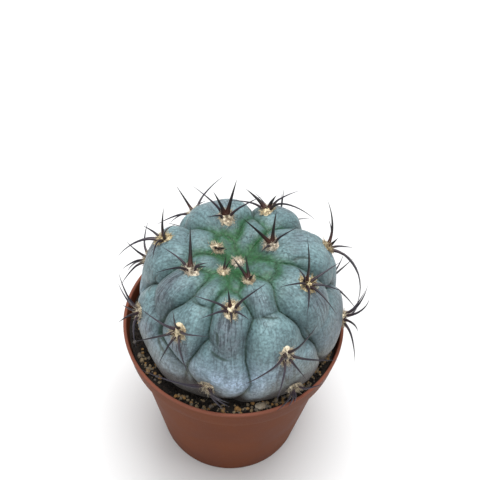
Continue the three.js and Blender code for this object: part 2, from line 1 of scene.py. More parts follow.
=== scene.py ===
# %% [markdown]
# # A round cactus in its nursery pot
#
# This scene dresses a measured model of a blue-green cactus in an 85 mm plastic pot. The model
# gives every piece its place and size. What Blender adds is the surface: skin with a waxy bloom,
# creases where the swollen tubercles meet, pads of wool, horn-hard spines, peat and grit.
#
# Lengths are worked out in millimetres and turned into metres when a mesh is made. A direction on
# the plant is two angles about the middle of its body: the azimuth, 0 at the front and rising
# towards +X, and the polar angle, 0 straight up and 90 at the waist.

# %% Load the measured model
import itertools
import math

import bpy
import numpy as np
from mathutils import Matrix


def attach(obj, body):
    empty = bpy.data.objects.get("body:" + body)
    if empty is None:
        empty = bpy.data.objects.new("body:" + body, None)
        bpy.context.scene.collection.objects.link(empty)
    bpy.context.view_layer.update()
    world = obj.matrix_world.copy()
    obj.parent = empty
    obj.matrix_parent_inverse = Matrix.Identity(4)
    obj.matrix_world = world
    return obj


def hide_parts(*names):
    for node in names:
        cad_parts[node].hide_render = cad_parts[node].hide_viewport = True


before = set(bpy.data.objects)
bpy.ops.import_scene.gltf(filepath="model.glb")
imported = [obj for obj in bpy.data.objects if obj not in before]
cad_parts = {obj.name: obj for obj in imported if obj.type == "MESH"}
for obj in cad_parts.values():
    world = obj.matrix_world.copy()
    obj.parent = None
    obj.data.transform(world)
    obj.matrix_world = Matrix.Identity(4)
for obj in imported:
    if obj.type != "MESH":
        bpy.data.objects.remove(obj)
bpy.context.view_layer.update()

MM = 0.001

# %% [markdown]
# ## Camera
#
# The plant is seen from the front and well above, so the lens looks down at it. The numbers are
# those of a camera whose view of the pot's lip, band and base falls on the right outlines: its
# distance from a point in the middle of the lip, its elevation, its roll, and the small turns that
# put the pot a little below and left of the middle of the picture.

# %% Camera
AIM = np.array([0, 0, 70.0])
DISTANCE = 288.0
ELEVATION = math.radians(54.5)
ROLL = math.radians(-2.5)
PICTURE_W = 480
FOCAL_PX = 742.0
AIM_RIGHT_PX = -6.1
AIM_DOWN_PX = 76.5
SENSOR = 36.0


def turn_about(axis, angle):
    """Turning matrix about X, Y or Z (0, 1 or 2), written out from cosine and sine."""
    c, s = math.cos(angle), math.sin(angle)
    a, b = [(1, 2), (2, 0), (0, 1)][axis]
    matrix = np.eye(3)
    matrix[a, a] = matrix[b, b] = c
    matrix[a, b], matrix[b, a] = -s, s
    return matrix


back = np.array([0, -math.cos(ELEVATION), math.sin(ELEVATION)])
side = np.array([1.0, 0, 0])
looking = np.stack([side, np.cross(back, side), -back])  # rows: right, up, forward
looking = turn_about(2, ROLL) @ looking
looking = turn_about(0, math.atan2(AIM_DOWN_PX, FOCAL_PX)) @ looking
looking = turn_about(1, math.atan2(AIM_RIGHT_PX, FOCAL_PX)) @ looking

lens = bpy.data.cameras.new("camera")
lens.sensor_width = SENSOR
lens.lens = SENSOR * FOCAL_PX / PICTURE_W
lens.clip_start, lens.clip_end = 0.01, 10
camera = bpy.data.objects.new("camera", lens)
place = np.eye(4)
place[:3, 0], place[:3, 1], place[:3, 2] = looking[0], looking[1], -looking[2]
place[:3, 3] = (AIM + back * DISTANCE) * MM
camera.matrix_world = Matrix(place.tolist())
bpy.context.scene.collection.objects.link(camera)
bpy.context.scene.camera = camera
print("lens", round(lens.lens, 2), "mm")

# %% [markdown]
# ## Making meshes
#
# Every piece here is a surface worked out with numpy: a grid of points with rows and columns, or
# many small copies of one grid. A grid that goes round closes on itself from its last column to
# its first, and a point at each end closes it like the poles of a globe. `foreach_set` hands
# Blender the whole array at once, which is much quicker than one vertex at a time.

# %% Mesh helpers
LATTICE = 32  # points along each side of the table of random numbers that lumps come from


def closed_faces(rows, columns):
    """Faces of a globe-like grid: squares between its rows, which go round, and triangles from its
    first and last row to a pole. Points are numbered pole first, row by row."""
    row, column = np.meshgrid(np.arange(rows - 1), np.arange(columns), indexing="ij")
    a = 1 + row * columns + column
    b = 1 + row * columns + (column + 1) % columns
    squares = np.stack([a, b, b + columns, a + columns], -1).reshape(-1, 4)
    ring = np.arange(columns)
    after = (ring + 1) % columns
    last = 1 + (rows - 1) * columns
    top = np.stack([0 * ring, 1 + after, 1 + ring], -1)
    end = np.stack([0 * ring + last + columns, last + ring, last + after], -1)
    return squares, np.concatenate([top, end])


def split_squares(points, squares):
    """Two triangles for each square, cut along the diagonal whose ends lie nearer the origin, so
    that a groove in the surface runs unbroken."""
    depth = np.linalg.norm(points, axis=-1)[squares]
    along = (depth[:, 0] + depth[:, 2] < depth[:, 1] + depth[:, 3])[:, None]
    one = np.where(along, squares[:, [0, 1, 2]], squares[:, [0, 1, 3]])
    two = np.where(along, squares[:, [0, 2, 3]], squares[:, [1, 2, 3]])
    return np.concatenate([one, two])


def many(faces, count, points_each):
    """The same faces for each of many equal copies, with the point numbers stepped on."""
    return (faces + points_each * np.arange(count)[:, None, None]).reshape(-1, faces.shape[1])


def new_piece(name, points, face_sets, attributes=None):
    """A mesh object at the origin from points in millimetres, face arrays of any equal length
    each, and named values for each point (one number, or three)."""
    mesh = bpy.data.meshes.new(name)
    points = np.ascontiguousarray(points, np.float32).reshape(-1, 3)
    mesh.vertices.add(len(points))
    mesh.vertices.foreach_set("co", (points * MM).ravel())
    corners = np.concatenate([np.asarray(faces).ravel() for faces in face_sets])
    counts = np.concatenate([np.full(len(faces), faces.shape[1]) for faces in face_sets])
    mesh.loops.add(len(corners))
    mesh.loops.foreach_set("vertex_index", corners.astype(np.int32))
    mesh.polygons.add(len(counts))
    mesh.polygons.foreach_set("loop_start", (np.cumsum(counts) - counts).astype(np.int32))
    for key, values in (attributes or {}).items():
        values = np.ascontiguousarray(values, np.float32)
        kind, field = ("FLOAT", "value") if values.ndim == 1 else ("FLOAT_VECTOR", "vector")
        mesh.attributes.new(key, kind, "POINT").data.foreach_set(field, values.ravel())
    mesh.update(calc_edges=True)
    mesh.validate()
    mesh.shade_smooth()
    piece = bpy.data.objects.new(name, mesh)
    bpy.context.scene.collection.objects.link(piece)
    return piece


def settle(piece, node, material):
    """The piece takes the place of a node of the model, rides with it, and gets its finish. Gives
    its number of triangles."""
    piece.data.materials.append(material)
    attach(piece, "root")
    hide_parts(node)
    piece.data.calc_loop_triangles()
    return len(piece.data.loop_triangles)


def lumps(points, size, seed):
    """Smooth random lumps from -1 to 1: seeded random numbers on a cubic lattice of the given
    spacing, eased from each lattice point to the next."""
    table = np.random.default_rng(seed).uniform(-1, 1, (LATTICE,) * 3)
    cell = np.asarray(points) / size
    corner = np.floor(cell).astype(int)
    ease = cell - corner
    ease = ease * ease * (3 - 2 * ease)
    total = np.zeros(ease.shape[:-1])
    for step in itertools.product((0, 1), repeat=3):
        weight = np.where(step, ease, 1 - ease).prod(-1)
        a, b, c = np.moveaxis((corner + step) % LATTICE, -1, 0)
        total += weight * table[a, b, c]
    return total


def smooth(low, high, x):
    """0 below low, 1 above high, and an S-curve (3 t squared less 2 t cubed) between."""
    t = np.clip((x - low) / (high - low), 0, 1)
    return t * t * (3 - 2 * t)


def unit(vectors):
    """Vectors divided by their own length."""
    return vectors / np.linalg.norm(vectors, axis=-1, keepdims=True)


print("mesh helpers ready")

# %% [markdown]
# ## Finishes
#
# A finish is one Principled shader with a few noise, attribute and mix nodes in front of it. The
# small class below keeps the lines short, so that a finish reads as a recipe: what is mixed with
# what, by how much, and how rough and bumpy the result is.

# %% A short way to write a finish
class Finish:
    """One material: a Principled shader, whose plain numbers are set on its own sockets."""

    def __init__(self, name, **plain):
        self.material = bpy.data.materials.new(name)
        self.material.use_nodes = True
        self.tree = self.material.node_tree
        self.shader = self.tree.nodes["Principled BSDF"]
        self.place = self.node("ShaderNodeTexCoord").outputs["Object"]
        for socket, value in plain.items():
            self.shader.inputs[socket.replace("_", " ")].default_value = value

    def node(self, kind, inputs=None, **settings):
        """A new node with its settings, and its inputs linked or set by name or number."""
        made = self.tree.nodes.new(kind)
        for key, value in settings.items():
            setattr(made, key, value)
        for key, value in (inputs or {}).items():
            self.feed(made.inputs[key], value)
        return made

    def feed(self, socket, value):
        """Links an output to a socket, or sets the socket to a number or a colour."""
        if isinstance(value, bpy.types.NodeSocket):
            self.tree.links.new(value, socket)
        elif isinstance(value, tuple) and len(socket.default_value) == 4:
            socket.default_value = (*value, 1)
        else:
            socket.default_value = value

    def value(self, name):
        """A number kept on the mesh, point by point."""
        return self.node("ShaderNodeAttribute", attribute_name=name).outputs["Fac"]

    def vector(self, name):
        """Three numbers kept on the mesh, point by point."""
        return self.node("ShaderNodeAttribute", attribute_name=name).outputs["Vector"]

    def noise(self, size_mm, detail=3.0, vector=None, distortion=0.0):
        """Noise from about 0 to 1 whose largest lumps are this many millimetres across. Each finer
        layer of it is 0.55 as strong as the last."""
        inputs = {"Scale": 1 / (size_mm * MM), "Detail": detail, "Roughness": 0.55}
        inputs["Distortion"] = distortion
        inputs["Vector"] = vector or self.place
        return self.node("ShaderNodeTexNoise", inputs).outputs["Fac"]

    def ramp(self, value, low, high, start=0.0, end=1.0):
        """The value mapped from low..high to start..end along an S-curve, and held outside."""
        inputs = {"Value": value, "From Min": low, "From Max": high}
        inputs.update({"To Min": start, "To Max": end})
        made = self.node("ShaderNodeMapRange", inputs, interpolation_type="SMOOTHSTEP")
        return made.outputs["Result"]

    def math(self, operation, a, b=0.0):
        """One sum, product or the like of two values."""
        return self.node("ShaderNodeMath", {0: a, 1: b}, operation=operation).outputs[0]

    def times(self, a, b):
        """The product of two values."""
        return self.math("MULTIPLY", a, b)

    def plus(self, a, b):
        """The sum of two values."""
        return self.math("ADD", a, b)

    def mix(self, share, a, b):
        """Colour a turning into colour b by a share from 0 to 1."""
        made = self.node("ShaderNodeMix", data_type="RGBA", blend_type="MIX")
        self.feed(made.inputs["Factor"], share)
        self.feed(made.inputs[6], a)
        self.feed(made.inputs[7], b)
        return made.outputs[2]

    def distance(self, spot):
        """How many metres a point is from a spot on the object."""
        inputs = {0: self.place, 1: spot}
        return self.node("ShaderNodeVectorMath", inputs, operation="DISTANCE").outputs["Value"]

    def bump(self, height, depth_mm, under=None):
        """Surface relief: the height from 0 to 1 stands for this many millimetres."""
        inputs = {"Height": height, "Distance": depth_mm * MM, "Strength": 1.0}
        if under:
            inputs["Normal"] = under
        return self.node("ShaderNodeBump", inputs).outputs["Normal"]

    def done(self, **linked):
        """Links the given outputs to the shader's sockets and gives the material."""
        for socket, value in linked.items():
            self.feed(self.shader.inputs[socket.replace("_", " ")], value)
        return self.material


print("finishes ready")

# %% [markdown]
# ## Floor and light
#
# The plant stands on a seamless white sweep under soft light from all round, as in a small photo
# tent. A white world gives the even part. A large soft lamp hangs nearly overhead, a little behind
# the plant: it shades the skin from the crown down, and leaves a soft shadow at the foot of the
# pot. A weaker one, in front and to the left, lifts what the first leaves dark. The floor is a
# plain plane, as it isn't part of the object.

# %% Floor and light
FLOOR_SIZE = 3.0
floor_finish = Finish("floor_white", Base_Color=(0.86, 0.86, 0.86, 1), Roughness=0.95)
half = FLOOR_SIZE / 2 / MM
corners = np.array([[-half, -half, 0], [half, -half, 0], [half, half, 0], [-half, half, 0]])
floor = new_piece("floor", corners, [np.array([[0, 1, 2, 3]])])
floor.data.materials.append(floor_finish.material)

SKY_STRENGTH = 0.45
world = bpy.data.worlds.new("photo_tent")
bpy.context.scene.world = world
world.use_nodes = True
world.node_tree.nodes["Background"].inputs["Color"].default_value = (0.97, 0.985, 1, 1)
world.node_tree.nodes["Background"].inputs["Strength"].default_value = SKY_STRENGTH


def soft_lamp(name, size, watts, away, azimuth, elevation):
    """A square lamp at a distance, azimuth (0 in front) and elevation, that faces the plant."""
    light = bpy.data.lights.new(name, "AREA")
    light.shape = "SQUARE"
    light.size = size
    light.energy = watts
    lamp = bpy.data.objects.new(name, light)
    a, e = math.radians(azimuth), math.radians(elevation)
    out = np.array([math.cos(e) * math.sin(a), -math.cos(e) * math.cos(a), math.sin(e)])
    lamp.location = out * away
    facing = np.eye(3)
    facing[2] = out
    facing[0] = unit(np.cross([0, 0, 1.0], out))
    facing[1] = np.cross(out, facing[0])
    lamp.rotation_euler = Matrix(facing.T.tolist()).to_euler()
    bpy.context.scene.collection.objects.link(lamp)


soft_lamp("key", size=0.7, watts=12.0, away=1.1, azimuth=165, elevation=84)
soft_lamp("fill", size=0.8, watts=3.0, away=1.3, azimuth=-20, elevation=45)
bpy.context.scene.view_settings.view_transform = "Standard"
bpy.context.scene.view_settings.look = "None"
print("floor, world and 2 lamps")

# %% [markdown]
# ## The shape of the skin
#
# The flesh of this cactus swells into rounded tubercles, set rib by rib round a sunken crown. Two
# neighbours press together, so a crease lies where a point is equally far from both. That gives
# the formula: a smooth core, plus a height that falls to nothing, along a quarter-round bank,
# where the second-nearest swelling is as near as the nearest. The crown and the soil end have
# flatter swellings than the side.
#
# Four touches keep it from looking like a pattern. A strong swelling pushes its neighbours back, so
# its furrows lie further out. A slow wave shifts the points, so the furrows wander. The notches
# between swellings of one rib end on the flank, where the furrows get shallower too. And the left
# flank is a little flatter than the rest.

# %% The core and the middles of the swellings
CENTRE = np.array([1.0, 0, 74])
GIRTH, CROWN, UNDER, SQUARENESS = 33.6, 36, 17, 2.5
DIP, DIP_WIDTH = 6, 24
TAPROOT, TAPROOT_WIDTH = 20, 13
RIBS = [  # azimuth, polar angle, and how many millimetres it pushes its neighbours back
    [[-12, 43, 1], [-16, 61, -1]],
    [[28, 27, -0.5], [25, 51, -1], [38, 95, 0.5]],
    [[63, 34, 3.5], [76, 80, 2.5]],
    [[101, 33, 5], [113, 62, 0], [112, 98, 0]],
    [[146, 40, 0.5], [157, 84, 0]],
    [[-161, 33, 2.5], [-160, 64, 0], [-160, 98, 0]],
    [[-118, 21, -2], [-101, 48, 1.5], [-104, 76, 1.5]],
    [[-52, 39, -1], [-72, 74, 0], [-40, 92, 0]],
    [[-28, 35, -1.5], [-29, 49, 2.5]],
    [[59, 22, 0.5]],
    [[-74, 18, -4.5]],
    [[161, 19, -1.5]],
    [[-2, 22, -5.5]],
    [[-135, 15, -3]],
]
STRETCH = 0.75
WAVE, WAVE_LENGTH, WAVE_START = 0.55, 11, np.radians([300, 240, 210])


def direction(azimuth, polar):
    """Unit vectors: out to the side by the sine of the polar angle, turned by the azimuth, and up
    by its cosine."""
    a, p = np.radians(azimuth), np.radians(polar)
    parts = np.sin(p) * np.sin(a), -np.sin(p) * np.cos(a), np.cos(p)
    return np.stack(np.broadcast_arrays(*parts), -1)


def core_radius(polar):
    """A rounded square in section (a sum of powers of sine and cosine), less the dip of the crown,
    plus the taproot, both bell curves."""
    p = np.radians(polar)
    end = np.abs(np.cos(p)) / np.where(np.asarray(polar) < 90, CROWN, UNDER)
    ball = ((np.abs(np.sin(p)) / GIRTH) ** SQUARENESS + end**SQUARENESS) ** (-1 / SQUARENESS)
    dip = DIP * np.exp(-((polar / DIP_WIDTH) ** 2))
    return ball - dip + TAPROOT * np.exp(-(((180 - polar) / TAPROOT_WIDTH) ** 2))


def core_point(azimuth, polar):
    """The direction times the core's radius."""
    return direction(azimuth, polar) * core_radius(np.asarray(polar, float))[..., None]


azimuth, polar, PUSH = np.array([row for rib in RIBS for row in rib], float).T
RIB = np.array([index for index, rib in enumerate(RIBS) for _ in rib])
MIDDLES = core_point(azimuth, polar)
DOWNS = unit(core_point(azimuth, polar + 0.1) - MIDDLES)
print(len(RIB), "swellings on", len(RIBS), "ribs")

# %% The skin's radius in any direction
SWELL_CROWN, SWELL_SIDE, SWELL_SOIL = 2.4, 5.1, 2.6
CHIN, CHIN_WIDTH = 1.2, 8
FURROW_W, NOTCH_W, NOTCH_DEPTH = 12, 6, 0.35
FLANK_FADE, FLANK, NOTCH_FADE = 0.55, [52, 80], [45, 65]
FLAT_DEPTH, FLAT_AT, FLAT_WIDTH, FLAT_FROM, FLAT_TO = 2.4, -92, 38, [40, 75], [105, 130]
# Polar angles between which the swellings grow to their side height, sink, and end.
SWELL_GROWS, SWELL_SINKS, SWELL_ENDS = [8, 50], [82, 108], [112, 150]


def reaches(point):
    """Distances to every swelling's middle, counted shorter up and down the rib: the squared
    length, less a part of the squared length along the rib, under a root. A swelling's push
    comes off its distance, so that a strong one takes room from its neighbours. The point is
    first shifted by a slow sine wave of each of its coordinates, so that creases wander."""
    wave = np.sin(np.roll(point, -1, axis=-1) * 2 * np.pi / WAVE_LENGTH + WAVE_START)
    off = (point + WAVE * wave)[..., None, :] - MIDDLES
    along = (off * DOWNS).sum(-1)
    return np.sqrt(np.maximum((off**2).sum(-1) - (1 - STRETCH**2) * along**2, 0)) - PUSH


def bank(t):
    """A quarter-round bank: 0 in the bottom of a furrow, 1 on top of the swelling."""
    return np.sqrt(1 - (1 - np.clip(t, 0, 1)) ** 2)


def swell_height(polar):
    """How far the swellings stand out: low in the crown, most on the side, gone below the soil."""
    rise = (SWELL_SIDE - SWELL_CROWN) * smooth(*SWELL_GROWS, polar)
    low = (SWELL_SIDE - SWELL_SOIL) * smooth(*SWELL_SINKS, polar)
    return SWELL_CROWN + rise - low - SWELL_SOIL * smooth(*SWELL_ENDS, polar)


def flat_side(azimuth, polar):
    """How much flatter the flank is on one side: a bell curve of the azimuth, faded in below the
    shoulder and out above the root."""
    turn = (np.asarray(azimuth) - FLAT_AT + 180) % 360 - 180
    rows = smooth(*FLAT_FROM, polar) * (1 - smooth(*FLAT_TO, polar))
    return FLAT_DEPTH * np.exp(-((turn / FLAT_WIDTH) ** 2)) * rows


def furrow_room(near):
    """For each point and swelling: how much farther the swelling is than the nearest one, whether
    it is on the same rib as that one, and whether it is that one itself. Half of the first is
    about the distance in millimetres to the furrow or notch between the two."""
    first = near.argmin(-1)
    beyond = near - near.min(-1, keepdims=True)
    own_rib = RIB[first][..., None] == RIB
    itself = np.arange(len(RIB)) == first[..., None]
    return beyond, own_rib, itself


def skin_radius(azimuth, polar):
    """Core, less the flat side, plus height times the product of the banks of all other
    swellings, plus a chin, a low bell curve round each swelling's own middle. Furrows are
    shallower on the flank, and notches end there."""
    polar = np.asarray(polar, float)
    near = reaches(core_point(azimuth, polar))
    beyond, own_rib, itself = furrow_room(near)
    rise = bank(beyond / np.where(own_rib, NOTCH_W, FURROW_W))
    notch = NOTCH_DEPTH * (1 - smooth(*NOTCH_FADE, polar))
    furrow = 1 - FLANK_FADE * smooth(*FLANK, polar)
    share = 1 - np.where(own_rib, notch[..., None], furrow[..., None]) * (1 - rise)
    share = np.where(itself, 1, share).prod(-1)
    height = swell_height(polar)
    chin = CHIN * np.exp(-((np.maximum(near.min(-1), 0) / CHIN_WIDTH) ** 2))
    core = core_radius(polar) - flat_side(azimuth, polar)
    return core + height * share + chin * height / SWELL_SIDE


def skin(azimuth, polar):
    """The direction times the skin's radius."""
    return direction(azimuth, polar) * skin_radius(azimuth, polar)[..., None]


def angles_of(point):
    """Azimuth and polar angle of points seen from the middle of the body."""
    azimuth = np.degrees(np.arctan2(point[..., 0], -point[..., 1]))
    return azimuth, np.degrees(np.arccos(point[..., 2] / np.linalg.norm(point, axis=-1)))


print("skin at the front, waist:", skin_radius(0.0, 80.0).round(1), "mm from the middle")

# %% [markdown]
# ## Where the areoles sit
#
# An areole is the woolly cushion from which a cactus grows its spines. Each one gets a little
# frame of its own on the skin: the point, the direction out, the direction towards the crown, and
# the right-hand side. Its spines are then four plain numbers each: the bearing round the areole
# (0 towards the crown, 90 to the right), the rise off the skin, the length, and how far the spine
# bends back down. The areoles on the far side follow the plant's common pattern, with seeded
# draws.

# %% Areoles and the wish list of their spines
AREOLES = [
    ([-161, 25], 1, [
        [138, 35, 16, 25], [-144, 62, 14, 12], [-87, 45, 15, 15], [81, 35, 8, 20],
        [150, 55, 10, 15],
    ]),
    ([156, 36], 1, [
        [87, 60, 10, 10], [-99, 50, 6, 10], [-117, 25, 13, 25], [-69, 30, 26, 70],
        [66, 35, 15, 30],
    ]),
    ([-103, 41], 1, [
        [-24, 60, 12, 10], [-150, 30, 10, 25], [25, 38, 20, 20], [159, 30, 19, 60],
        [168, 25, 12, 35], [72, 25, 16, 30],
    ]),
    ([-64, 29], 1, [
        [-72, 65, 14, 10], [-138, 30, 12, 20], [162, 25, 16, 25], [15, 25, 6, 20],
        [50, 30, 6, 20],
    ]),
    ([-111, 15], 0.7, [[60, 60, 5, 10], [10, 50, 4, 10], [117, 50, 5, 10]]),
    ([110, 19], 0.85, [[51, 60, 14, 8], [144, 55, 12, 8], [-165, 35, 12, 15], [-39, 35, 6, 20]]),
    ([-38, 15], 0.6, [[-45, 60, 5, 5], [-6, 50, 4, 5]]),
    ([18, 20], 0.7, [[-33, 60, 9, 5], [21, 60, 8, 5], [156, 50, 4, 5]]),
    ([63, 38], 1, [
        [6, 60, 19, 15], [111, 35, 13, 20], [-21, 40, 9, 10], [-57, 25, 16, 20],
        [159, 25, 12, 25], [-105, 25, 16, 20], [-156, 25, 14, 25],
    ]),
    ([113, 57], 1, [
        [54, 50, 17, 40], [-24, 50, 6, 10], [171, 30, 14, 10], [-105, 38, 30, 105],
        [-141, 30, 15, 44], [110, 30, 15, 30],
    ]),
    ([-5, 36], 1, [
        [-24, 60, 7, 5], [60, 40, 15, 10], [-87, 25, 13, 15], [-129, 25, 12, 15],
        [126, 25, 8, 15], [171, 20, 8, 15],
    ]),
    ([-34, 53], 1, [
        [6, 40, 14, 10], [-75, 30, 14, 15], [56, 25, 18, 15], [-129, 25, 16, 15],
        [-177, 25, 12, 15], [129, 25, 14, 30],
    ]),
    ([28, 61], 1, [
        [18, 35, 22, 15], [-34, 45, 16, 15], [111, 25, 18, 20], [-72, 30, 25, 15],
        [156, 25, 11, 15], [-135, 35, 15, 15],
    ]),
    ([-70, 69], 1, [
        [-11, 30, 20, 15], [-120, 30, 8, 15], [50, 45, 16, 20], [75, 25, 17, 25],
        [-80, 30, 13, 20],
    ]),
    ([-14, 82], 1, [
        [-60, 25, 25, 15], [78, 25, 11, 20], [-36, 30, 16, 10], [114, 25, 10, 20],
        [45, 25, 17, 15],
    ]),
    ([33, 89], 1, [[-75, 30, 12, 15], [-40, 45, 9, 15], [40, 30, 11, 15], [-60, 45, 9, 20]]),
    ([80, 79], 1, [
        [54, 40, 12, 20], [25, 45, 16, 40], [-12, 45, 20, 45], [-50, 30, 18, 30],
        [-126, 30, 16, 25], [120, 30, 14, 30],
    ]),
    ([-110, 70], 1, [
        [-174, 35, 18, 25], [-60, 35, 14, 30], [70, 30, 13, 25], [20, 45, 12, 20],
        [130, 30, 14, 25],
    ]),
    ([-150, 62], 1, [
        [-71, 30, 19, 28], [119, 25, 16, 21], [150, 30, 14, 30], [20, 62, 12, 10],
        [-130, 30, 14, 25],
    ]),
]
FAR_AREOLES = [[-160, 90], [157, 76], [116, 92]]
FAR_RADIALS, FAR_SWAY, FAR_SEED = 5, 12, 90210
FAR_RISE, FAR_LENGTH, FAR_BEND = [24, 36], [12, 18], [18, 34]
FAR_CENTRAL = [20, 62, 14, 10]


def draws(seed):
    """A seeded row of numbers from 0 to 1: each is the last one times 48271, less the whole
    multiples of a large prime."""
    x = seed
    while True:
        x = (48271 * x) % 2147483647
        yield x / 2147483647


def between(limits, t):
    """The first limit, plus a share of the way to the second."""
    return limits[0] + (limits[1] - limits[0]) * t


def common_spines(draw):
    """One upright central spine, and an even round of radials with a little sway."""
    spines = [FAR_CENTRAL]
    for k in range(FAR_RADIALS):
        bearing = k * 360 / FAR_RADIALS + between([-FAR_SWAY, FAR_SWAY], next(draw))
        shape = [between(limits, next(draw)) for limits in (FAR_RISE, FAR_LENGTH, FAR_BEND)]
        spines.append([bearing, *shape])
    return spines


far_draw = draws(FAR_SEED)
wished = AREOLES + [(at, 1, common_spines(far_draw)) for at in FAR_AREOLES]
print(len(wished), "areoles,", sum(len(spines) for _, _, spines in wished), "spines wished")

# %% [markdown]
# ## Spines that keep clear
#
# On the living plant a growing spine slides past whatever is in its way. The rule here does the
# same: a spine that would touch the skin, the soil, the pot's lip or another areole's spines is
# turned a little, then lifted, then grown shorter, and left out if nothing helps. The measured
# model uses the same rule and numbers, so both place every spine alike.

# %% A spine's line, and the rule that clears it
POT_H, LIP_R = 70, 42.5
SOIL_Z = 65.6
ROOT_H, ROOT_OUT = 1.3, 0.7
SAMPLES = 12
SKIN_ROOM, SPINE_ROOM, AREOLE_ROOM, SOIL_ROOM, LIP_ROOM = 0.9, 1.7, 4.4, 1.6, 1.6
LIP_BAND = [37, LIP_R + LIP_ROOM]
ROOT_FREE = 0.25  # the share of a spine, from its root, that may lie close to the skin
TURNS = [0, 6, -6, 12, -12]
LIFTS = range(0, 45, 5)
GROWTHS = [1, 0.85, 0.7, 0.55]


class Areole:
    """A woolly cushion on the skin, with its own directions and its spines."""

    def __init__(self, number, at, size, spines):
        azimuth, polar = at
        self.number, self.size, self.spines, self.trail = number, size, spines, []
        self.point = skin(azimuth, polar)
        step = np.degrees(2 / np.linalg.norm(self.point))
        swing = step / math.sin(math.radians(polar))
        down = skin(azimuth, polar + step) - skin(azimuth, polar - step)
        across = skin(azimuth + swing, polar) - skin(azimuth - swing, polar)
        self.out = unit(np.cross(down, across))
        self.up = unit(-down + self.out * (down @ self.out))
        self.right = np.cross(self.up, self.out)

    def towards(self, bearing):
        """The bearing's sine to the right plus its cosine towards the crown."""
        b = np.radians(np.asarray(bearing, float))[..., None]
        return self.right * np.sin(b) + self.up * np.cos(b)

    def over_skin(self, bearing, distance, height):
        """The skin under a point at a bearing and distance, lifted by a height."""
        flat = self.point + self.towards(bearing) * np.asarray(distance, float)[..., None]
        return skin(*angles_of(flat)) + self.out * np.asarray(height, float)[..., None]


def spine_line(areole, spine, t):
    """Points of an arc that leaves the areole at its rise and bends back by its bend: its radius is
    the length over the bend, its reach a difference of sines, its height one of cosines."""
    bearing, rise, length, bend = spine
    start, end = np.radians(rise), np.radians(rise - bend * np.asarray(t))
    radius = length / np.radians(bend)
    along = ROOT_OUT * areole.size + radius * (np.sin(start) - np.sin(end))
    up = ROOT_H * areole.size + radius * (np.cos(end) - np.cos(start))
    line = areole.out * up[..., None] + areole.towards(bearing) * along[..., None]
    return areole.point + line


def is_clear(areole, spine, others):
    """Whether twelve points of the spine keep their room to everything round it."""
    t = (np.arange(SAMPLES) + 1) / SAMPLES
    points = spine_line(areole, spine, t)
    spot = points + CENTRE
    out = np.hypot(spot[:, 0], spot[:, 1])
    low = (spot[:, 2] < SOIL_Z + SOIL_ROOM) & (out < LIP_BAND[1])
    lip = (spot[:, 2] < POT_H + LIP_ROOM) & (out > LIP_BAND[0]) & (out < LIP_BAND[1])
    if (low | lip).any():
        return False
    middles = np.array([other.point for other in others])
    rooms = np.array([AREOLE_ROOM * other.size for other in others])
    if (np.linalg.norm(points[:, None] - middles, axis=-1) <= rooms).any():
        return False
    trails = [trail for other in others for trail in other.trail]
    if trails:
        apart = np.linalg.norm(points[:, None] - np.concatenate(trails), axis=-1)
        if (apart <= SPINE_ROOM).any():
            return False
    above = points[t > ROOT_FREE]
    room = np.linalg.norm(above, axis=-1) - skin_radius(*angles_of(above))
    return bool((room >= SKIN_ROOM).all())


def cleared(areole, spine, others):
    """The first turn, lift and growth of a spine that is clear, or nothing."""
    bearing, rise, length, bend = spine
    for growth, lift, turn in itertools.product(GROWTHS, LIFTS, TURNS):
        tried = [bearing + turn, rise + lift, length * growth, bend]
        if is_clear(areole, tried, others):
            return tried
    return None


areoles = [Areole(k + 1, *row) for k, row in enumerate(wished)]
for areole in areoles:
    others = [other for other in areoles if other is not areole]
    found = [cleared(areole, spine, others) for spine in areole.spines]
    areole.spines = [spine for spine in found if spine]
    t = (np.arange(SAMPLES) + 1) / SAMPLES
    areole.trail = [spine_line(areole, spine, t) for spine in areole.spines]
print(sum(len(areole.spines) for areole in areoles), "spines found room")

# %% [markdown]
# ## The body
#
# The body is the skin formula on a fine grid of azimuth and polar angle, closed at the crown and
# at the root tip. Grid points next to a furrow slide into it, so that the crease is a clean line
# and not a row of teeth. A real skin is never as smooth as a formula, so nine short folds are
# pressed into it, and two sizes of soft lumps are added.
#
# What the skin's colour depends on is kept on the mesh, point by point: how far the nearest
# furrow, notch and fold are, the polar angle, how far the rubbed patch below the nearest areole is,
# a place for the streaks, and how far the point is below the line where the skin turns corky and
# is painted dark as shade.

# %% The body's mesh
BODY_COLUMNS = 520
SKIN_ROWS = np.linspace(0.8, 108, 164)
BURIED_ROWS = np.linspace(111, 178, 14)
SLIDE = 0.4
LUMPS = [(9.0, 0.22, 11), (3.2, 0.10, 12)]
FOLDS = [  # start, middle and end of each fold, as azimuth and polar angle
    [[18, 40], [24, 41.5], [32, 43]], [[-15, 56], [-9, 59.5], [-2, 61]],
    [[-77, 44], [-78, 54], [-66, 54]],
    [[-52, 69], [-46, 72], [-38, 73]], [[-27, 71], [-27, 80], [-24, 86]],
    [[45, 53], [50, 65], [52, 78]], [[-13, 46], [-11, 50], [-11, 55]],
    [[82, 29], [87, 32], [87, 39]],
    [[-41, 38], [-31, 38], [-24, 37]],
]
FOLD_STEPS, FOLD_DEPTH, FOLD_W, FOLD_FADE = 30, 0.4, 0.8, 1.0
FAR_AWAY = 99  # millimetres: stands for no furrow, notch or fold nearby


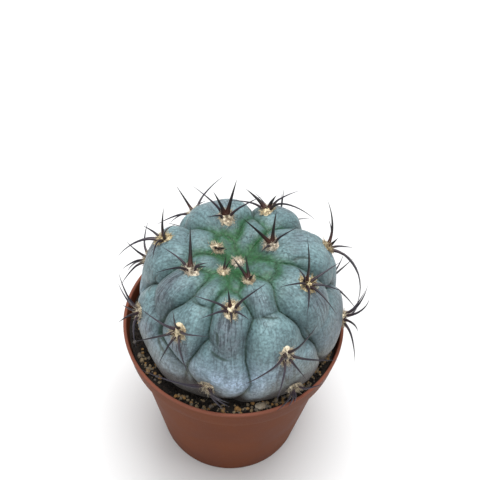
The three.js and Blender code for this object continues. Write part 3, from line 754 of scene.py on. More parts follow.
def slid(azimuth, polar, most):
    """Directions moved by at most a given distance into the furrow beside them, where the two
    nearest swellings are equally far."""
    point = core_point(azimuth, polar)
    near = reaches(point)
    pair = np.argsort(near, axis=-1)[..., :2]
    far = np.take_along_axis(near, pair, -1)
    across = unit(MIDDLES[pair[..., 1]] - MIDDLES[pair[..., 0]])
    lean = (across * DOWNS[pair[..., 0]]).sum(-1)
    aim = (far[..., 1] - far[..., 0]) / 2 / np.hypot(1, (STRETCH - 1) * lean)
    step = np.where(aim > 2 * most, 0, np.minimum(aim, most))
    return angles_of(point + across * step[..., None])


def body_grid():
    """Rows of directions from the crown down, slid into the furrows."""
    rows = np.concatenate([SKIN_ROWS, BURIED_ROWS])
    around = np.arange(BODY_COLUMNS) * 360 / BODY_COLUMNS
    polar, azimuth = np.meshgrid(rows, around, indexing="ij")
    tall = np.radians(np.gradient(rows)) * GIRTH
    wide = 2 * np.pi * core_radius(rows) * np.sin(np.radians(rows)) / BODY_COLUMNS
    most = SLIDE * np.minimum(tall, wide)[:, None]
    return slid(azimuth, polar, most)


def from_folds(points):
    """Millimetres from each point to the nearest fold, which is a quadratic curve through its
    three places, with an allowance that grows with the fourth power towards the fold's ends."""
    t = np.linspace(0, 1, FOLD_STEPS)[:, None]
    nearest = np.full(points.shape[:-1], float(FAR_AWAY))
    for start, middle, end in np.array(FOLDS, float):
        bent = 2 * middle - (start + end) / 2
        places = (1 - t) ** 2 * start + 2 * t * (1 - t) * bent + t**2 * end
        line = skin(places[:, 0], places[:, 1])
        for spot, share in zip(line, t[:, 0]):
            away = np.linalg.norm(points - spot, axis=-1) + FOLD_FADE * (2 * share - 1) ** 4
            nearest = np.minimum(nearest, away)
    return nearest


azimuths, polars = body_grid()
surface = skin(azimuths, polars)
out_of_skin = unit(surface)
fold_dent = FOLD_DEPTH * np.exp(-((from_folds(surface) / FOLD_W) ** 2))
surface -= out_of_skin * fold_dent[..., None]
for size, depth, seed in LUMPS:
    surface += out_of_skin * (depth * lumps(surface, size, seed))[..., None]
poles = skin(np.zeros(2), np.array([0.0, 180.0]))
body_points = np.concatenate([poles[:1], surface.reshape(-1, 3), poles[1:]])
squares, caps = closed_faces(len(surface), BODY_COLUMNS)
body_faces = np.concatenate([split_squares(body_points, squares), caps])[:, ::-1]
print(len(body_faces), "triangles in the body")

# %% What the skin's colour depends on
PATCH_DOWN, PATCH_NARROW = 6.0, 1.5
DEGREE_MM, STREAK_DRAW = 0.58, 0.16
# The line below which the skin turns corky and is painted nearly black as shade, where the body turns
# under at the soil.
CORK_SHADE_AT, CORK_SHADE_BEHIND, CORK_SHADE_SAG, CORK_SHADE_SAG_AT, CORK_SHADE_SAG_W = 81, 14, 10, 6, 18
CORK_SHADE_TURNS = [35, 100]  # azimuths, either way, between which the corky line moves down


def skin_marks(points):
    """Values for each point: about how many millimetres the nearest furrow, notch and fold are
    away, the polar angle, how far it is from the middle of the nearest patch below an areole, and
    how many degrees it is below the line of the corky base that is painted dark as shade, which
    sags at the front and lies lower behind. A place for streaks, in millimetres, is round a
    cylinder by the azimuth, and up it by a small share of the polar angle."""
    azimuth, polar = angles_of(points)
    near = reaches(core_point(azimuth, polar))
    beyond, own_rib, itself = furrow_room(near)
    furrow = np.where(own_rib, FAR_AWAY, beyond).min(-1) / 2
    notch = np.where(own_rib & ~itself, beyond, FAR_AWAY).min(-1) / 2
    across = np.stack([(points - a.point) @ a.right for a in areoles])
    along = np.stack([(points - a.point) @ a.up for a in areoles])
    patch = np.hypot(across * PATCH_NARROW, along + PATCH_DOWN).min(0)
    up = direction(0, 0) * DEGREE_MM * STREAK_DRAW
    streaks = direction(azimuth, 90.0) * GIRTH + up * polar[:, None]
    cork_and_shade_line = CORK_SHADE_AT + CORK_SHADE_BEHIND * smooth(*CORK_SHADE_TURNS, np.abs(azimuth))
    cork_and_shade_line += CORK_SHADE_SAG * np.exp(-(((azimuth - CORK_SHADE_SAG_AT) / CORK_SHADE_SAG_W) ** 2))
    marks = {"furrow": furrow, "notch": notch, "polar": polar, "patch": patch}
    fold = from_folds(skin(azimuth, polar))
    return {**marks, "streaks": streaks, "cork": polar - cork_and_shade_line, "fold": fold}


body = new_piece("body", body_points + CENTRE, [body_faces], skin_marks(body_points))
print("body spans", [round(v / MM, 1) for v in body.dimensions])

# %% [markdown]
# ## The skin's finish
#
# The skin is green, but a waxy bloom covers it, so it looks blue-grey where it is old and dull,
# and vivid green where it is young, in the crown and down in the creases. The bloom is thickest
# low in front, and the right flank is painted darker low down, as shade. Under each areole the
# bloom is rubbed and turns violet-grey, with fine dark streaks running down. Old skin near the
# soil turns brown and corky along a ragged line, and is painted nearly black below it, as shade.
# The swellings' tops get a painted highlight, and the valleys, creases, folds and wrinkles get
# painted shade. Fine wrinkles cross the skin, and the young crown shines a little more. All of
# this is one Principled shader whose colour is mixed step by step from the values kept on the mesh.

# %% The skin's colour and relief
THICK_BLOOM = tuple(((CENTRE + skin(-12.0, 82.0)) * MM).tolist())  # the palest spot, low in front
# Middle of the painted shade on the right flank, low down.
RIGHT_FLANK_SHADE_SPOT = tuple(((CENTRE + skin(72.0, 84.0)) * MM).tolist())  # the dullest, low on the right


def skin_finish():
    """Bloom in grey-teal clouds with a painted highlight on the swellings' tops, pale lavender low
    down and painted shade on the right flank, then violet patches, green near the furrows, dark
    streaks, painted shade in the valleys, creases and folds, the corky base with painted shade, and
    last the speckle and wrinkles, which are darkened as painted shade. Spots, streaks, wrinkles and
    speckle also give the relief."""
    f = Finish("cactus_skin", Sheen_Weight=0.08, Sheen_Roughness=0.5, IOR=1.42)
    cloud, spots, fine = f.noise(9, 4), f.noise(3, 4, distortion=0.6), f.noise(0.9, 3)
    polar, furrow, notch = f.value("polar"), f.value("furrow"), f.value("notch")
    color = f.mix(f.ramp(cloud, 0.35, 0.65), (0.114, 0.190, 0.205), (0.184, 0.296, 0.314))
    # Painted highlight: the tops of the swellings, away from the furrows, are paler.
    crest_highlight = f.times(f.ramp(furrow, 2.5, 7.5), f.ramp(spots, 0.35, 0.6, 0.2, 0.5))
    color = f.mix(crest_highlight, color, (0.215, 0.320, 0.350))
    low = f.times(f.ramp(polar, 54, 82), f.ramp(spots, 0.35, 0.6, 0.6, 0.95))
    low = f.times(low, f.ramp(f.distance(THICK_BLOOM), 0.010, 0.034, 1, 0.3))
    color = f.mix(low, color, (0.420, 0.545, 0.700))
    # Painted shade: the right flank is darkened low down, round that spot.
    right_flank_shade = f.ramp(f.distance(RIGHT_FLANK_SHADE_SPOT), 0.008, 0.030, 0.65, 0)
    color = f.mix(right_flank_shade, color, (0.090, 0.100, 0.112))
    color = f.mix(f.ramp(polar, 12, 34, 0.5, 0), color, (0.060, 0.118, 0.108))
    ragged = f.plus(f.value("patch"), f.times(cloud, 5.0))
    patch = f.ramp(ragged, 4, 14, 0.75, 0)
    patch = f.times(patch, f.ramp(polar, 22, 42))
    patch = f.times(patch, f.ramp(spots, 0.3, 0.65, 0.5, 1))
    color = f.mix(patch, color, (0.138, 0.150, 0.180))
    reach = f.ramp(polar, 11, 46, 3.0, 1.0)
    ragged = f.plus(furrow, f.times(spots, 2.2))
    green = f.ramp(f.math("DIVIDE", ragged, reach), 0.35, 1.15, 1, 0)
    green = f.times(green, f.ramp(polar, 22, 84, 1.0, 0.4))
    vivid = f.mix(f.ramp(polar, 14, 42), (0.020, 0.132, 0.030), (0.048, 0.150, 0.080))
    color = f.mix(green, color, vivid)
    streak = f.noise(0.9 / MM, 4, f.vector("streaks"))  # that vector is in millimetres
    dark = f.times(f.ramp(streak, 0.50, 0.58), f.plus(patch, 0.30))
    color = f.mix(f.times(dark, 0.85), color, (0.036, 0.046, 0.056))
    # Painted shade in the valleys beside the furrows: dark green in the crown, dark grey-teal lower
    # down.
    valley_shade = f.ramp(f.plus(furrow, f.times(spots, 1.5)), 0.6, 4.0, 0.5, 0)
    shade = f.mix(f.ramp(polar, 20, 50), (0.020, 0.085, 0.030), (0.038, 0.074, 0.078))
    color = f.mix(valley_shade, color, shade)
    # Painted shade: a dark line along the crease of each furrow and notch.
    notch_shade = f.times(f.ramp(notch, 0.02, 0.4, 0.4, 0), f.ramp(polar, *NOTCH_FADE, 1, 0))
    crease_shade = f.math("MAXIMUM", f.ramp(furrow, 0.02, 0.5, 0.85, 0), notch_shade)
    crease_shade = f.times(crease_shade, f.ramp(cloud, 0.3, 0.55, 0.55, 1))
    crease_shade = f.times(crease_shade, f.ramp(polar, 14, 40, 0.5, 1))
    color = f.mix(crease_shade, color, (0.012, 0.040, 0.022))
    # Painted shade along the folds.
    color = f.mix(f.ramp(f.value("fold"), 0.2, 0.9, 0.85, 0), color, (0.025, 0.050, 0.042))
    # The corky base: an olive-brown soil stain rises to a ragged line, and below it the skin is
    # painted nearly black as shade where the body turns under.
    cork = f.plus(f.value("cork"), f.times(spots, 5.0))
    cork = f.plus(cork, f.times(f.math("SUBTRACT", cloud, 0.5), 14.0))
    color = f.mix(f.ramp(cork, -12, 1, 0, 0.65), color, (0.130, 0.132, 0.105))
    color = f.mix(f.ramp(cork, 0.5, 6.5, 0, 0.92), color, (0.034, 0.027, 0.023))
    bright = f.ramp(fine, 0.32, 0.68, 0.76, 1.28)
    bright = f.times(bright, f.ramp(spots, 0.3, 0.7, 0.9, 1.1))
    ridge = f.math("SUBTRACT", f.noise(4.5, 3, distortion=0.9), 0.5)
    wrinkle = f.ramp(f.math("ABSOLUTE", ridge), 0.0, 0.03, 1, 0)
    wrinkle = f.times(wrinkle, f.ramp(spots, 0.4, 0.6))
    # Painted shade: the colour darkens along the wrinkles.
    bright = f.times(bright, f.ramp(wrinkle, 0, 1, 1.03, 0.72))
    graded = f.node("ShaderNodeHueSaturation", {"Color": color, "Value": bright})
    normal = f.bump(spots, 0.5)
    normal = f.bump(streak, 0.3, normal)
    normal = f.bump(f.math("SUBTRACT", 1.0, wrinkle), 0.12, normal)
    normal = f.bump(fine, 0.07, normal)
    rough = f.ramp(cloud, 0.3, 0.7, 0.6, 0.44)
    rough = f.times(rough, f.ramp(polar, 12, 40, 0.55, 1))
    return f.done(Base_Color=graded.outputs[0], Normal=normal, Roughness=rough)


print(settle(body, "cactus_body", skin_finish()), "triangles wear the skin finish")

# %% [markdown]
# ## The spines
#
# A spine is hard horn: stout at its root, tapering to a needle point, and bent a little. Each one
# is a round profile carried along the arc of its line. The profile shrinks with a power of the
# distance still to go, and swells at the root. Its root runs down into the areole's cushion, so
# that the wool closes round it.

# %% The meshes of the sprays
RADIAL_R, CENTRAL_R, CENTRAL_RISE = 0.54, 0.62, 50
STOUT_R, STOUT_AREOLES = 0.88, {1, 2, 4, 6, 8}
SPINE_TAPER = 0.9
SPINE_SIDES = 8
SPINE_ROWS = np.concatenate([[0], np.linspace(0.02, 0.985, 13)])
ROOT_BULB, ROOT_BULB_T = 0.28, 0.07
ROOT_SPREAD, ROOT_SINK, ROOT_BLEND = 0.9, 0.8, 0.4
CENTRAL_SPREAD = 0.35  # a central spine's share of that spread and sinking
BURIED_BACK, BURIED_DOWN = 0.6, 0.3  # where the hidden root point is, behind and below the line


def spine_points(areole, spine):
    """Rings round the spine's line at each row, with a buried root point and a tip point. The
    radius is the root radius times the remaining share to a power, plus a bulb that dies away."""
    t = SPINE_ROWS
    is_central = spine[1] >= CENTRAL_RISE
    near_root = (np.clip(1 - t / ROOT_BLEND, 0, 1) ** 2)[:, None] * areole.size
    spread = areole.towards(spine[0]) * ROOT_SPREAD - areole.out * ROOT_SINK
    line = spine_line(areole, spine, t) + near_root * spread * (CENTRAL_SPREAD if is_central else 1)
    ahead = unit(np.gradient(line, axis=0))
    level = areole.towards(spine[0] + 90)
    top = unit(np.cross(level, ahead))
    central_r = STOUT_R if areole.number in STOUT_AREOLES else CENTRAL_R
    root = central_r if is_central else RADIAL_R
    radius = root * math.sqrt(areole.size) * (1 - t) ** SPINE_TAPER
    radius *= 1 + ROOT_BULB * np.exp(-t / ROOT_BULB_T)
    turns = np.arange(SPINE_SIDES) * 2 * np.pi / SPINE_SIDES
    round_it = top[:, None] * np.cos(turns)[:, None] + level * np.sin(turns)[:, None]
    rings = line[:, None] + round_it * radius[:, None, None]
    buried = line[:1] - ahead[:1] * BURIED_BACK - areole.out * BURIED_DOWN
    return np.concatenate([buried, rings.reshape(-1, 3), spine_line(areole, spine, [1.0])])


def spine_marks(spine, shade):
    """For each point of one spine: how far along it is, whether the spine is a central one, and
    the spine's own shade."""
    along = np.concatenate([[0], np.repeat(SPINE_ROWS, SPINE_SIDES), [1]])
    central = np.full(len(along), float(spine[1] >= CENTRAL_RISE))
    return along, central, np.full(len(along), shade)


def spray(areole):
    """All spines of one areole in one piece."""
    points = np.stack([spine_points(areole, spine) for spine in areole.spines])
    squares, caps = closed_faces(len(SPINE_ROWS), SPINE_SIDES)
    count, each = points.shape[:2]
    faces = [many(squares[:, ::-1], count, each), many(caps[:, ::-1], count, each)]
    shades = np.random.default_rng(100 + areole.number).uniform(0, 1, count)
    marks = [spine_marks(spine, shade) for spine, shade in zip(areole.spines, shades)]
    along, central, shade = (np.concatenate(values) for values in zip(*marks))
    marks = {"along": along, "central": central, "shade": shade}
    name = f"spray_{areole.number:02d}"
    return new_piece(name, points.reshape(-1, 3) + CENTRE, faces, marks)


# %% [markdown]
# ## The horn of the spines
#
# Young central spines are nearly black with a red-brown root. Older side spines weather to
# violet-grey. The finish goes from root to tip by the value `along`, each spine has a `shade` of
# its own, and a fine noise makes the horn uneven.

# %% The spines' finish
def horn_finish():
    """Red-brown root to black, greyer on side spines, with a satin shine."""
    f = Finish("spine_horn", IOR=1.5)
    along, central, shade = f.value("along"), f.value("central"), f.value("shade")
    grain = f.noise(0.8, 3)
    dark = f.mix(central, (0.018, 0.014, 0.021), (0.007, 0.005, 0.006))
    worn = f.times(f.ramp(shade, 0.2, 0.9), f.math("SUBTRACT", 1.0, central))
    dark = f.mix(f.times(worn, 0.4), dark, (0.050, 0.040, 0.060))
    root = f.ramp(f.plus(along, f.times(grain, 0.12)), 0.1, 0.42, 0.75, 0)
    root = f.times(root, f.ramp(central, 0, 1, 0.35, 1))
    color = f.mix(root, dark, (0.070, 0.020, 0.012))
    color = f.mix(f.ramp(grain, 0.55, 0.75, 0, 0.15), color, (0.08, 0.06, 0.06))
    return f.done(Base_Color=color, Normal=f.bump(f.noise(0.3, 2), 0.02),
                  Roughness=f.ramp(grain, 0.3, 0.7, 0.33, 0.52))


horn = horn_finish()
total = 0
for areole in areoles:
    total += settle(spray(areole), f"spines_{areole.number:02d}", horn)
print(total, "triangles in", len(areoles), "sprays")

# %% [markdown]
# ## The wool
#
# Each areole is a cushion of short felted hairs, cream when young and tan or dirty when old. A
# low lumpy pad gives the cushion its body, and a few hundred short curled hairs stand out of it in
# clumps. A hair is a three-sided tube with only a few faces, because there are thousands of them.

# %% Pads and hairs
WOOL_ACROSS, WOOL_ALONG, WOOL_H = 2.5, 3.4, 0.9
WIDE = {4: 1.4, 6: 1.2, 9: 1.3}  # cushions that are broader than the others
PAD_ROWS = np.array([0.1, 0.22, 0.34, 0.46, 0.58, 0.69, 0.79, 0.88, 0.95, 1.0])
PAD_COLUMNS = 48
CRUMB_SIZE, CRUMB_H = 0.75, 0.75
CLUMPS, CLUMP_HAIRS = 46, 8
HAIR_R, HAIR_LENGTH = 0.085, 1.35
HAIR_STEPS = np.array([0, 0.35, 0.7])
# How uneven a pad's edge is, how far the pad is lowered, and how deep its underside reaches.
PAD_WAVE, PAD_SUNK, PAD_ROOT = 0.09, 0.12, 0.4


def pad_points(areole, across, along, height, seed):
    """A mound over the skin: an oval edge with a lumpy radius, a height that falls to the skin as
    a quarter round, and crumbs on top. Also gives how low each point lies among the crumbs."""
    rng = np.random.default_rng(seed)
    bearings = -np.arange(PAD_COLUMNS) * 360 / PAD_COLUMNS
    wave = sum(rng.uniform(-PAD_WAVE, PAD_WAVE) * np.sin(k * np.radians(bearings) + rng.uniform(0, 6))
               for k in (2, 3, 5))
    oval = np.hypot(across * np.sin(np.radians(bearings)), along * np.cos(np.radians(bearings)))
    distance = PAD_ROWS[:, None] * oval * (1 + wave)
    lift = height * np.sqrt(np.maximum(1 - PAD_ROWS**2, 0))[:, None] - PAD_SUNK
    grid = areole.over_skin(np.broadcast_to(bearings, distance.shape), distance,
                            np.broadcast_to(lift, distance.shape))
    crumbs = lumps(grid, CRUMB_SIZE, seed) * (1 - PAD_ROWS**4)[:, None]
    grid = grid + CRUMB_H * crumbs[..., None] * areole.out
    top = areole.point + areole.out * height
    bottom = areole.point - areole.out * PAD_ROOT
    low = np.clip(0.5 - 0.9 * crumbs, 0, 1).ravel()
    return np.concatenate([[top], grid.reshape(-1, 3), [bottom]]), np.concatenate([[0.3], low, [1]])


def hair_points(areole, across, along, height, seed):
    """Hairs in clumps. A hair leaves its clump's foot along the clump's own lean, with a bend of
    its own that grows with the square of the way along it."""
    rng = np.random.default_rng(seed + 500)
    bearing = rng.uniform(0, 360, CLUMPS)
    share = np.sqrt(rng.uniform(0.02, 1, CLUMPS))
    oval = np.hypot(across * np.sin(np.radians(bearing)), along * np.cos(np.radians(bearing)))
    foot = areole.over_skin(bearing, share * oval, 0.7 * height * np.sqrt(1 - 0.9 * share**2))
    lean = areole.out * 0.75 + areole.towards(bearing) * share[:, None] * 0.8
    lean = unit(lean + rng.normal(0, 0.35, (CLUMPS, 3)))
    count = CLUMPS * CLUMP_HAIRS
    foot = np.repeat(foot, CLUMP_HAIRS, 0) + rng.normal(0, 0.22, (count, 3))
    lean = unit(np.repeat(lean, CLUMP_HAIRS, 0) + rng.normal(0, 0.33, (count, 3)))
    bend = rng.normal(0, 0.55, (count, 3))
    length = HAIR_LENGTH * areole.size**0.5 * rng.uniform(0.5, 1.1, count)
    t = np.append(HAIR_STEPS, 1.0)
    way = lean[:, None] * t[:, None] + bend[:, None] * (t**2)[:, None]
    line = foot[:, None] + way * length[:, None, None]
    sideways = unit(np.cross(lean, rng.normal(0, 1, (count, 3))))
    other = np.cross(lean, sideways)
    turns = np.arange(3) * 2 * np.pi / 3
    spread = sideways[:, None] * np.cos(turns)[:, None] + other[:, None] * np.sin(turns)[:, None]
    radius = HAIR_R * (1 - 0.75 * HAIR_STEPS)
    rings = line[:, :-1, None] + spread[:, None] * radius[:, None, None]
    points = np.concatenate([rings.reshape(count, -1, 3), line[:, -1:]], 1)
    tint = np.repeat(rng.uniform(0, 1, CLUMPS), CLUMP_HAIRS) + rng.normal(0, 0.08, count)
    return points, np.clip(tint, 0, 1)


def hair_faces():
    """One hair: a triangle under its foot, three squares between each two rings, and three
    triangles up to its tip."""
    rings = len(HAIR_STEPS)
    start = 3 * np.arange(rings - 1)[:, None, None]
    sides = np.array([[0, 1, 4, 3], [1, 2, 5, 4], [2, 0, 3, 5]]) + start
    last = 3 * (rings - 1)
    tip = np.array([[0, 1, 3], [1, 2, 3], [2, 0, 3]]) + last
    return sides.reshape(-1, 4), np.concatenate([[[2, 1, 0]], tip])


def wool_piece(name, areole, across, along, height, seed, age, dirt):
    """Pad and hairs in one piece, with the tint of each clump, the cushion's age and its dirt."""
    pad, low = pad_points(areole, across, along, height, seed)
    hairs, tint = hair_points(areole, across, along, height, seed)
    squares, caps = closed_faces(len(PAD_ROWS), PAD_COLUMNS)
    sides, ends = hair_faces()
    count, each = hairs.shape[:2]
    faces = [squares, caps, many(sides, count, each) + len(pad), many(ends, count, each) + len(pad)]
    points = np.concatenate([pad, hairs.reshape(-1, 3)])
    rng = np.random.default_rng(seed)
    hair_depth = np.append(np.repeat(HAIR_STEPS[-1] - HAIR_STEPS, 3), 0)
    marks = {
        "tint": np.concatenate([rng.uniform(0, 0.5, len(pad)), np.repeat(tint, each)]),
        "depth": np.concatenate([low, np.tile(hair_depth, count)]),
        "age": np.full(len(points), age),
        "dirt": np.full(len(points), dirt),
    }
    return new_piece(name, points + CENTRE, faces, marks)


# %% [markdown]
# ## The colour of the wool
#
# The value `tint` makes one clump cream and the next tan, `age` turns a whole cushion yellower,
# and `dirt` browns the ones near the soil. `depth` darkens the feet of the hairs and the low spots
# among the pad's crumbs, and dark gaps are strewn at random between them: all of this is painted
# shade.

# %% The wool's finish and its 23 cushions
AGES = {1: 0.3, 2: 0.7, 3: 0.9, 4: 0.15, 6: 0.1, 9: 0.95, 10: 0.8, 11: 0.5, 12: 0.6, 13: 0.35}
DIRTY = {4: 0.45, 10: 0.5, 14: 0.5, 15: 0.75, 16: 0.7, 17: 0.55, 18: 0.4, 1: 0.15, 3: 0.1}
CROWN_TUFT_AT, CROWN_TUFT_R, CROWN_TUFT_H, CROWN_TUFT_SIZE = [-20, 3], 1.9, 1.5, 0.7
PAD_SEED, TUFT_SEED = 40, 77


def wool_finish():
    """White or cream to yellow tan by age and tint, browned by dirt, and darkened by painted shade in
    gaps and by depth.
    """
    f = Finish("areole_wool", Roughness=0.9, Sheen_Weight=0.35, Sheen_Roughness=0.4)
    tint, depth, age, dirt = (f.value(k) for k in ("tint", "depth", "age", "dirt"))
    fresh = f.mix(tint, (0.94, 0.88, 0.76), (0.72, 0.58, 0.40))
    old = f.mix(tint, (0.92, 0.80, 0.48), (0.66, 0.46, 0.18))
    color = f.mix(age, fresh, old)
    soiled = f.times(dirt, f.ramp(f.noise(0.9, 3), 0.38, 0.62))
    color = f.mix(soiled, color, (0.10, 0.055, 0.035))
    # Painted shade: dark gaps at random, in the low spots among the crumbs and at the feet of the
    # hairs.
    gap_shade = f.ramp(f.noise(0.7, 2), 0.53, 0.62, 0, 0.7)
    gap_shade = f.math("MAXIMUM", f.ramp(depth, 0.42, 0.85, 0, 0.85), gap_shade)
    color = f.mix(gap_shade, color, (0.10, 0.06, 0.03))
    return f.done(Base_Color=color, Normal=f.bump(f.noise(0.25, 2), 0.05))


wool = wool_finish()
total = 0
for areole in areoles:
    name = f"wool_pad_{areole.number:02d}"
    wide = WIDE.get(areole.number, 1)
    room = [WOOL_ACROSS * wide * areole.size, WOOL_ALONG / math.sqrt(wide) * areole.size]
    age, dirt = AGES.get(areole.number, 0.4), DIRTY.get(areole.number, 0.1)
    piece = wool_piece(name, areole, *room, WOOL_H * min(1, areole.size + 0.15),
                       PAD_SEED + areole.number, age, dirt)
    total += settle(piece, f"wool_{areole.number:02d}", wool)
tuft = Areole(0, CROWN_TUFT_AT, CROWN_TUFT_SIZE, [])
piece = wool_piece("crown_wool", tuft, CROWN_TUFT_R, CROWN_TUFT_R,
                   CROWN_TUFT_H * CROWN_TUFT_SIZE, TUFT_SEED, age=0.0, dirt=0.1)
total += settle(piece, "crown_tuft", wool)
print(total, "triangles of wool")

# %% [markdown]
# ## The pot
#
# A nursery pot is one thin moulding, so it is a profile turned about an axis: foot ring, sloping
# wall, a step out to the band round the mouth, and a thin lip. Sharp corners in the profile are
# rounded by short arcs, because plastic never has a knife edge. The drain holes are drilled
# through the channel in the floor with a Boolean, as they cut across the turned surface.

# %% The pot's profile
WALL = 1.2
BAND_H, BAND_LOWER_R, SHOULDER_R, FOOT_R = 9.7, 41.1, 39, 30
FOOT_RING_W, UNDER_DISC_R, UNDER_STEP = 2.4, 17, 1.6
DRAIN_HOLES, DRAIN_D = 8, 5.4
POT_COLUMNS, PIN_COLUMNS = 288, 28
LONGEST = 4.0  # no stretch of the profile is longer
ARC_POINTS = 5
BAND_Z = POT_H - BAND_H
CHANNEL = [UNDER_DISC_R + 1, FOOT_R - 1 - FOOT_RING_W]
OUTSIDE = [  # radius, height, and how much the corner is rounded
    (UNDER_DISC_R, 0, 0.5), (CHANNEL[0], UNDER_STEP, 0.5), (CHANNEL[1], UNDER_STEP, 0.5),
    (FOOT_R - FOOT_RING_W, 0, 0.4), (FOOT_R, 0, 0.5), (SHOULDER_R, BAND_Z, 0.5),
    (BAND_LOWER_R, BAND_Z, 0.6), (LIP_R, POT_H, 0.55),
]
INSIDE = [
    (LIP_R - WALL, POT_H, 0.45), (BAND_LOWER_R - WALL, BAND_Z + WALL, 0.5),
    (SHOULDER_R - WALL, BAND_Z + WALL, 0.5), (FOOT_R - WALL, UNDER_STEP + WALL, 0.5),
    (CHANNEL[0] + 0.4, UNDER_STEP + WALL, 0.4), (UNDER_DISC_R - 0.6, WALL, 0.4),
]


def rounded(corners, steps):
    """A line through corners, each cut off by a curve that starts and ends at its rounding's
    distance: a mix of the three points by the squares of the share, as in a quadratic curve."""
    points = np.array([[r, z] for r, z, _ in corners], float)
    cut = np.array([c for _, _, c in corners])[1:-1, None]
    before = points[1:-1] + unit(points[:-2] - points[1:-1]) * cut
    after = points[1:-1] + unit(points[2:] - points[1:-1]) * cut
    s = np.linspace(0, 1, steps)[:, None, None]
    curve = (1 - s) ** 2 * before + 2 * s * (1 - s) * points[1:-1] + s**2 * after
    return np.concatenate([points[:1], curve.transpose(1, 0, 2).reshape(-1, 2), points[-1:]])


def with_rows(profile, longest):
    """The same line with extra points, so that no stretch is longer than the given length."""
    parts = []
    for a, b in zip(profile[:-1], profile[1:]):
        count = max(1, math.ceil(np.linalg.norm(b - a) / longest))
        parts.append(a + (b - a) * (np.arange(count) / count)[:, None])
    return np.concatenate(parts + [profile[-1:]])


corners = [(0, 0, 0), *OUTSIDE, *INSIDE, (0, WALL, 0)]
pot_profile = with_rows(rounded(corners, ARC_POINTS), LONGEST)
print(len(pot_profile), "points in the pot's profile")

# %% Turning and drilling the pot
def turned(name, profile, columns):
    """A closed profile line from axis to axis, carried round the axis."""
    around = np.arange(columns) * 2 * np.pi / columns
    radius, height = profile[1:-1, 0, None], profile[1:-1, 1, None]
    rows = np.stack(np.broadcast_arrays(radius * np.cos(around), radius * np.sin(around), height), -1)
    first, last = [0, 0, profile[0, 1]], [0, 0, profile[-1, 1]]
    points = np.concatenate([[first], rows.reshape(-1, 3), [last]])
    squares, caps = closed_faces(len(rows), columns)
    return new_piece(name, points, [squares, caps])


def drills():
    """Upright pins where the drain holes go, all in one mesh."""
    radius = sum(CHANNEL) / 2
    profile = np.array([[0, -WALL], [DRAIN_D / 2, -WALL], [DRAIN_D / 2, 4 * WALL], [0, 4 * WALL]])
    pin = turned("pin", profile, PIN_COLUMNS)
    co = np.empty(len(pin.data.vertices) * 3, np.float32)
    pin.data.vertices.foreach_get("co", co)
    co = co.reshape(-1, 3) / MM
    turn = (np.arange(DRAIN_HOLES) + 0.5) * 2 * np.pi / DRAIN_HOLES
    spots = np.stack([radius * np.cos(turn), radius * np.sin(turn), 0 * turn], -1)
    squares, caps = closed_faces(2, PIN_COLUMNS)
    faces = [many(squares, DRAIN_HOLES, len(co)), many(caps, DRAIN_HOLES, len(co))]
    bpy.data.objects.remove(pin)
    return new_piece("drills", (co + spots[:, None]).reshape(-1, 3), faces)


pot = turned("nursery_pot", pot_profile, POT_COLUMNS)
tool = drills()
cut = pot.modifiers.new("drain_holes", "BOOLEAN")
cut.operation, cut.object, cut.solver = "DIFFERENCE", tool, "EXACT"
bpy.context.view_layer.update()
drilled = bpy.data.meshes.new_from_object(pot.evaluated_get(bpy.context.evaluated_depsgraph_get()))
pot.modifiers.clear()
pot.data = drilled
pot.data.shade_smooth()
bpy.data.objects.remove(tool)
print(len(pot.data.polygons), "faces after drilling")

# %% [markdown]
# ## The pot's plastic
#
# Terracotta-brown polypropylene is nearly matt, with a slightly uneven skin. Handling and splashes
# leave faint specks of dust, and the thin lip is painted a little brighter and redder, as a
# highlight. Object coordinates drive all of it, so the pattern stays put on the pot.

# %% The plastic's finish
def plastic_finish():
    """Brown with faint clouds, dust in fine specks, and a lip painted brighter and redder as a
    highlight.
    """
    f = Finish("pot_plastic", IOR=1.45, Specular_IOR_Level=0.03)
    height = f.node("ShaderNodeSeparateXYZ", {0: f.place}).outputs["Z"]
    cloud = f.noise(18, 3)
    color = f.mix(f.ramp(cloud, 0.3, 0.7), (0.135, 0.040, 0.018), (0.162, 0.052, 0.024))
    # Painted highlight: the top of the lip is lighter and redder.
    lip = f.ramp(height, 0.0685, 0.0698)  # metres: the last millimetre and a half
    color = f.mix(f.times(lip, 0.6), color, (0.27, 0.105, 0.075))
    dust = f.times(f.ramp(f.noise(0.7, 4), 0.60, 0.74), 0.14)
    color = f.mix(dust, color, (0.36, 0.27, 0.22))
    normal = f.bump(f.noise(7, 2), 0.05)
    normal = f.bump(f.noise(0.4, 2), 0.006, normal)
    return f.done(Base_Color=color, Normal=normal, Roughness=f.ramp(cloud, 0.3, 0.7, 0.42, 0.52))


print(settle(pot, "pot", plastic_finish()), "triangles in the pot")

# %% [markdown]
# ## The soil
#
# The pot is filled with dark peat to a few millimetres below the lip. The bed is one closed form:
# it lies against the pot's wall, its top is crumbly, and its hollow follows the buried flesh down
# to the taproot. On it lie crumbs of peat and mineral grains, half sunk in. The large grains lie
# exactly where the measured model has them, by the same seeded draws, and smaller ones are strewn
# between them.

# %% The bed of peat
GAP = 0.3
SOIL_COLUMNS = 360
SOIL_WAVE = 0.4
TOP_ROWS = np.linspace(0, 1, 46)
HOLLOW_ROWS = np.linspace(108, 176, 14)
CRUMBLE = [(4.5, 0.5, 21), (1.7, 0.45, 22), (0.75, 0.28, 23)]
WALL_SAG = 0.3  # how much lower the soil is along the wall
MEET_DOWN, MEET_OUT = 0.4, 0.15  # where the top ends: below the soil's level, and off the skin


def soil_top(azimuth, out):
    """The soil's level plus two slow waves round the pot."""
    a = np.radians(azimuth)
    return SOIL_Z + SOIL_WAVE * (np.sin(5 * a) + np.sin(11 * a + out)) * 0.5


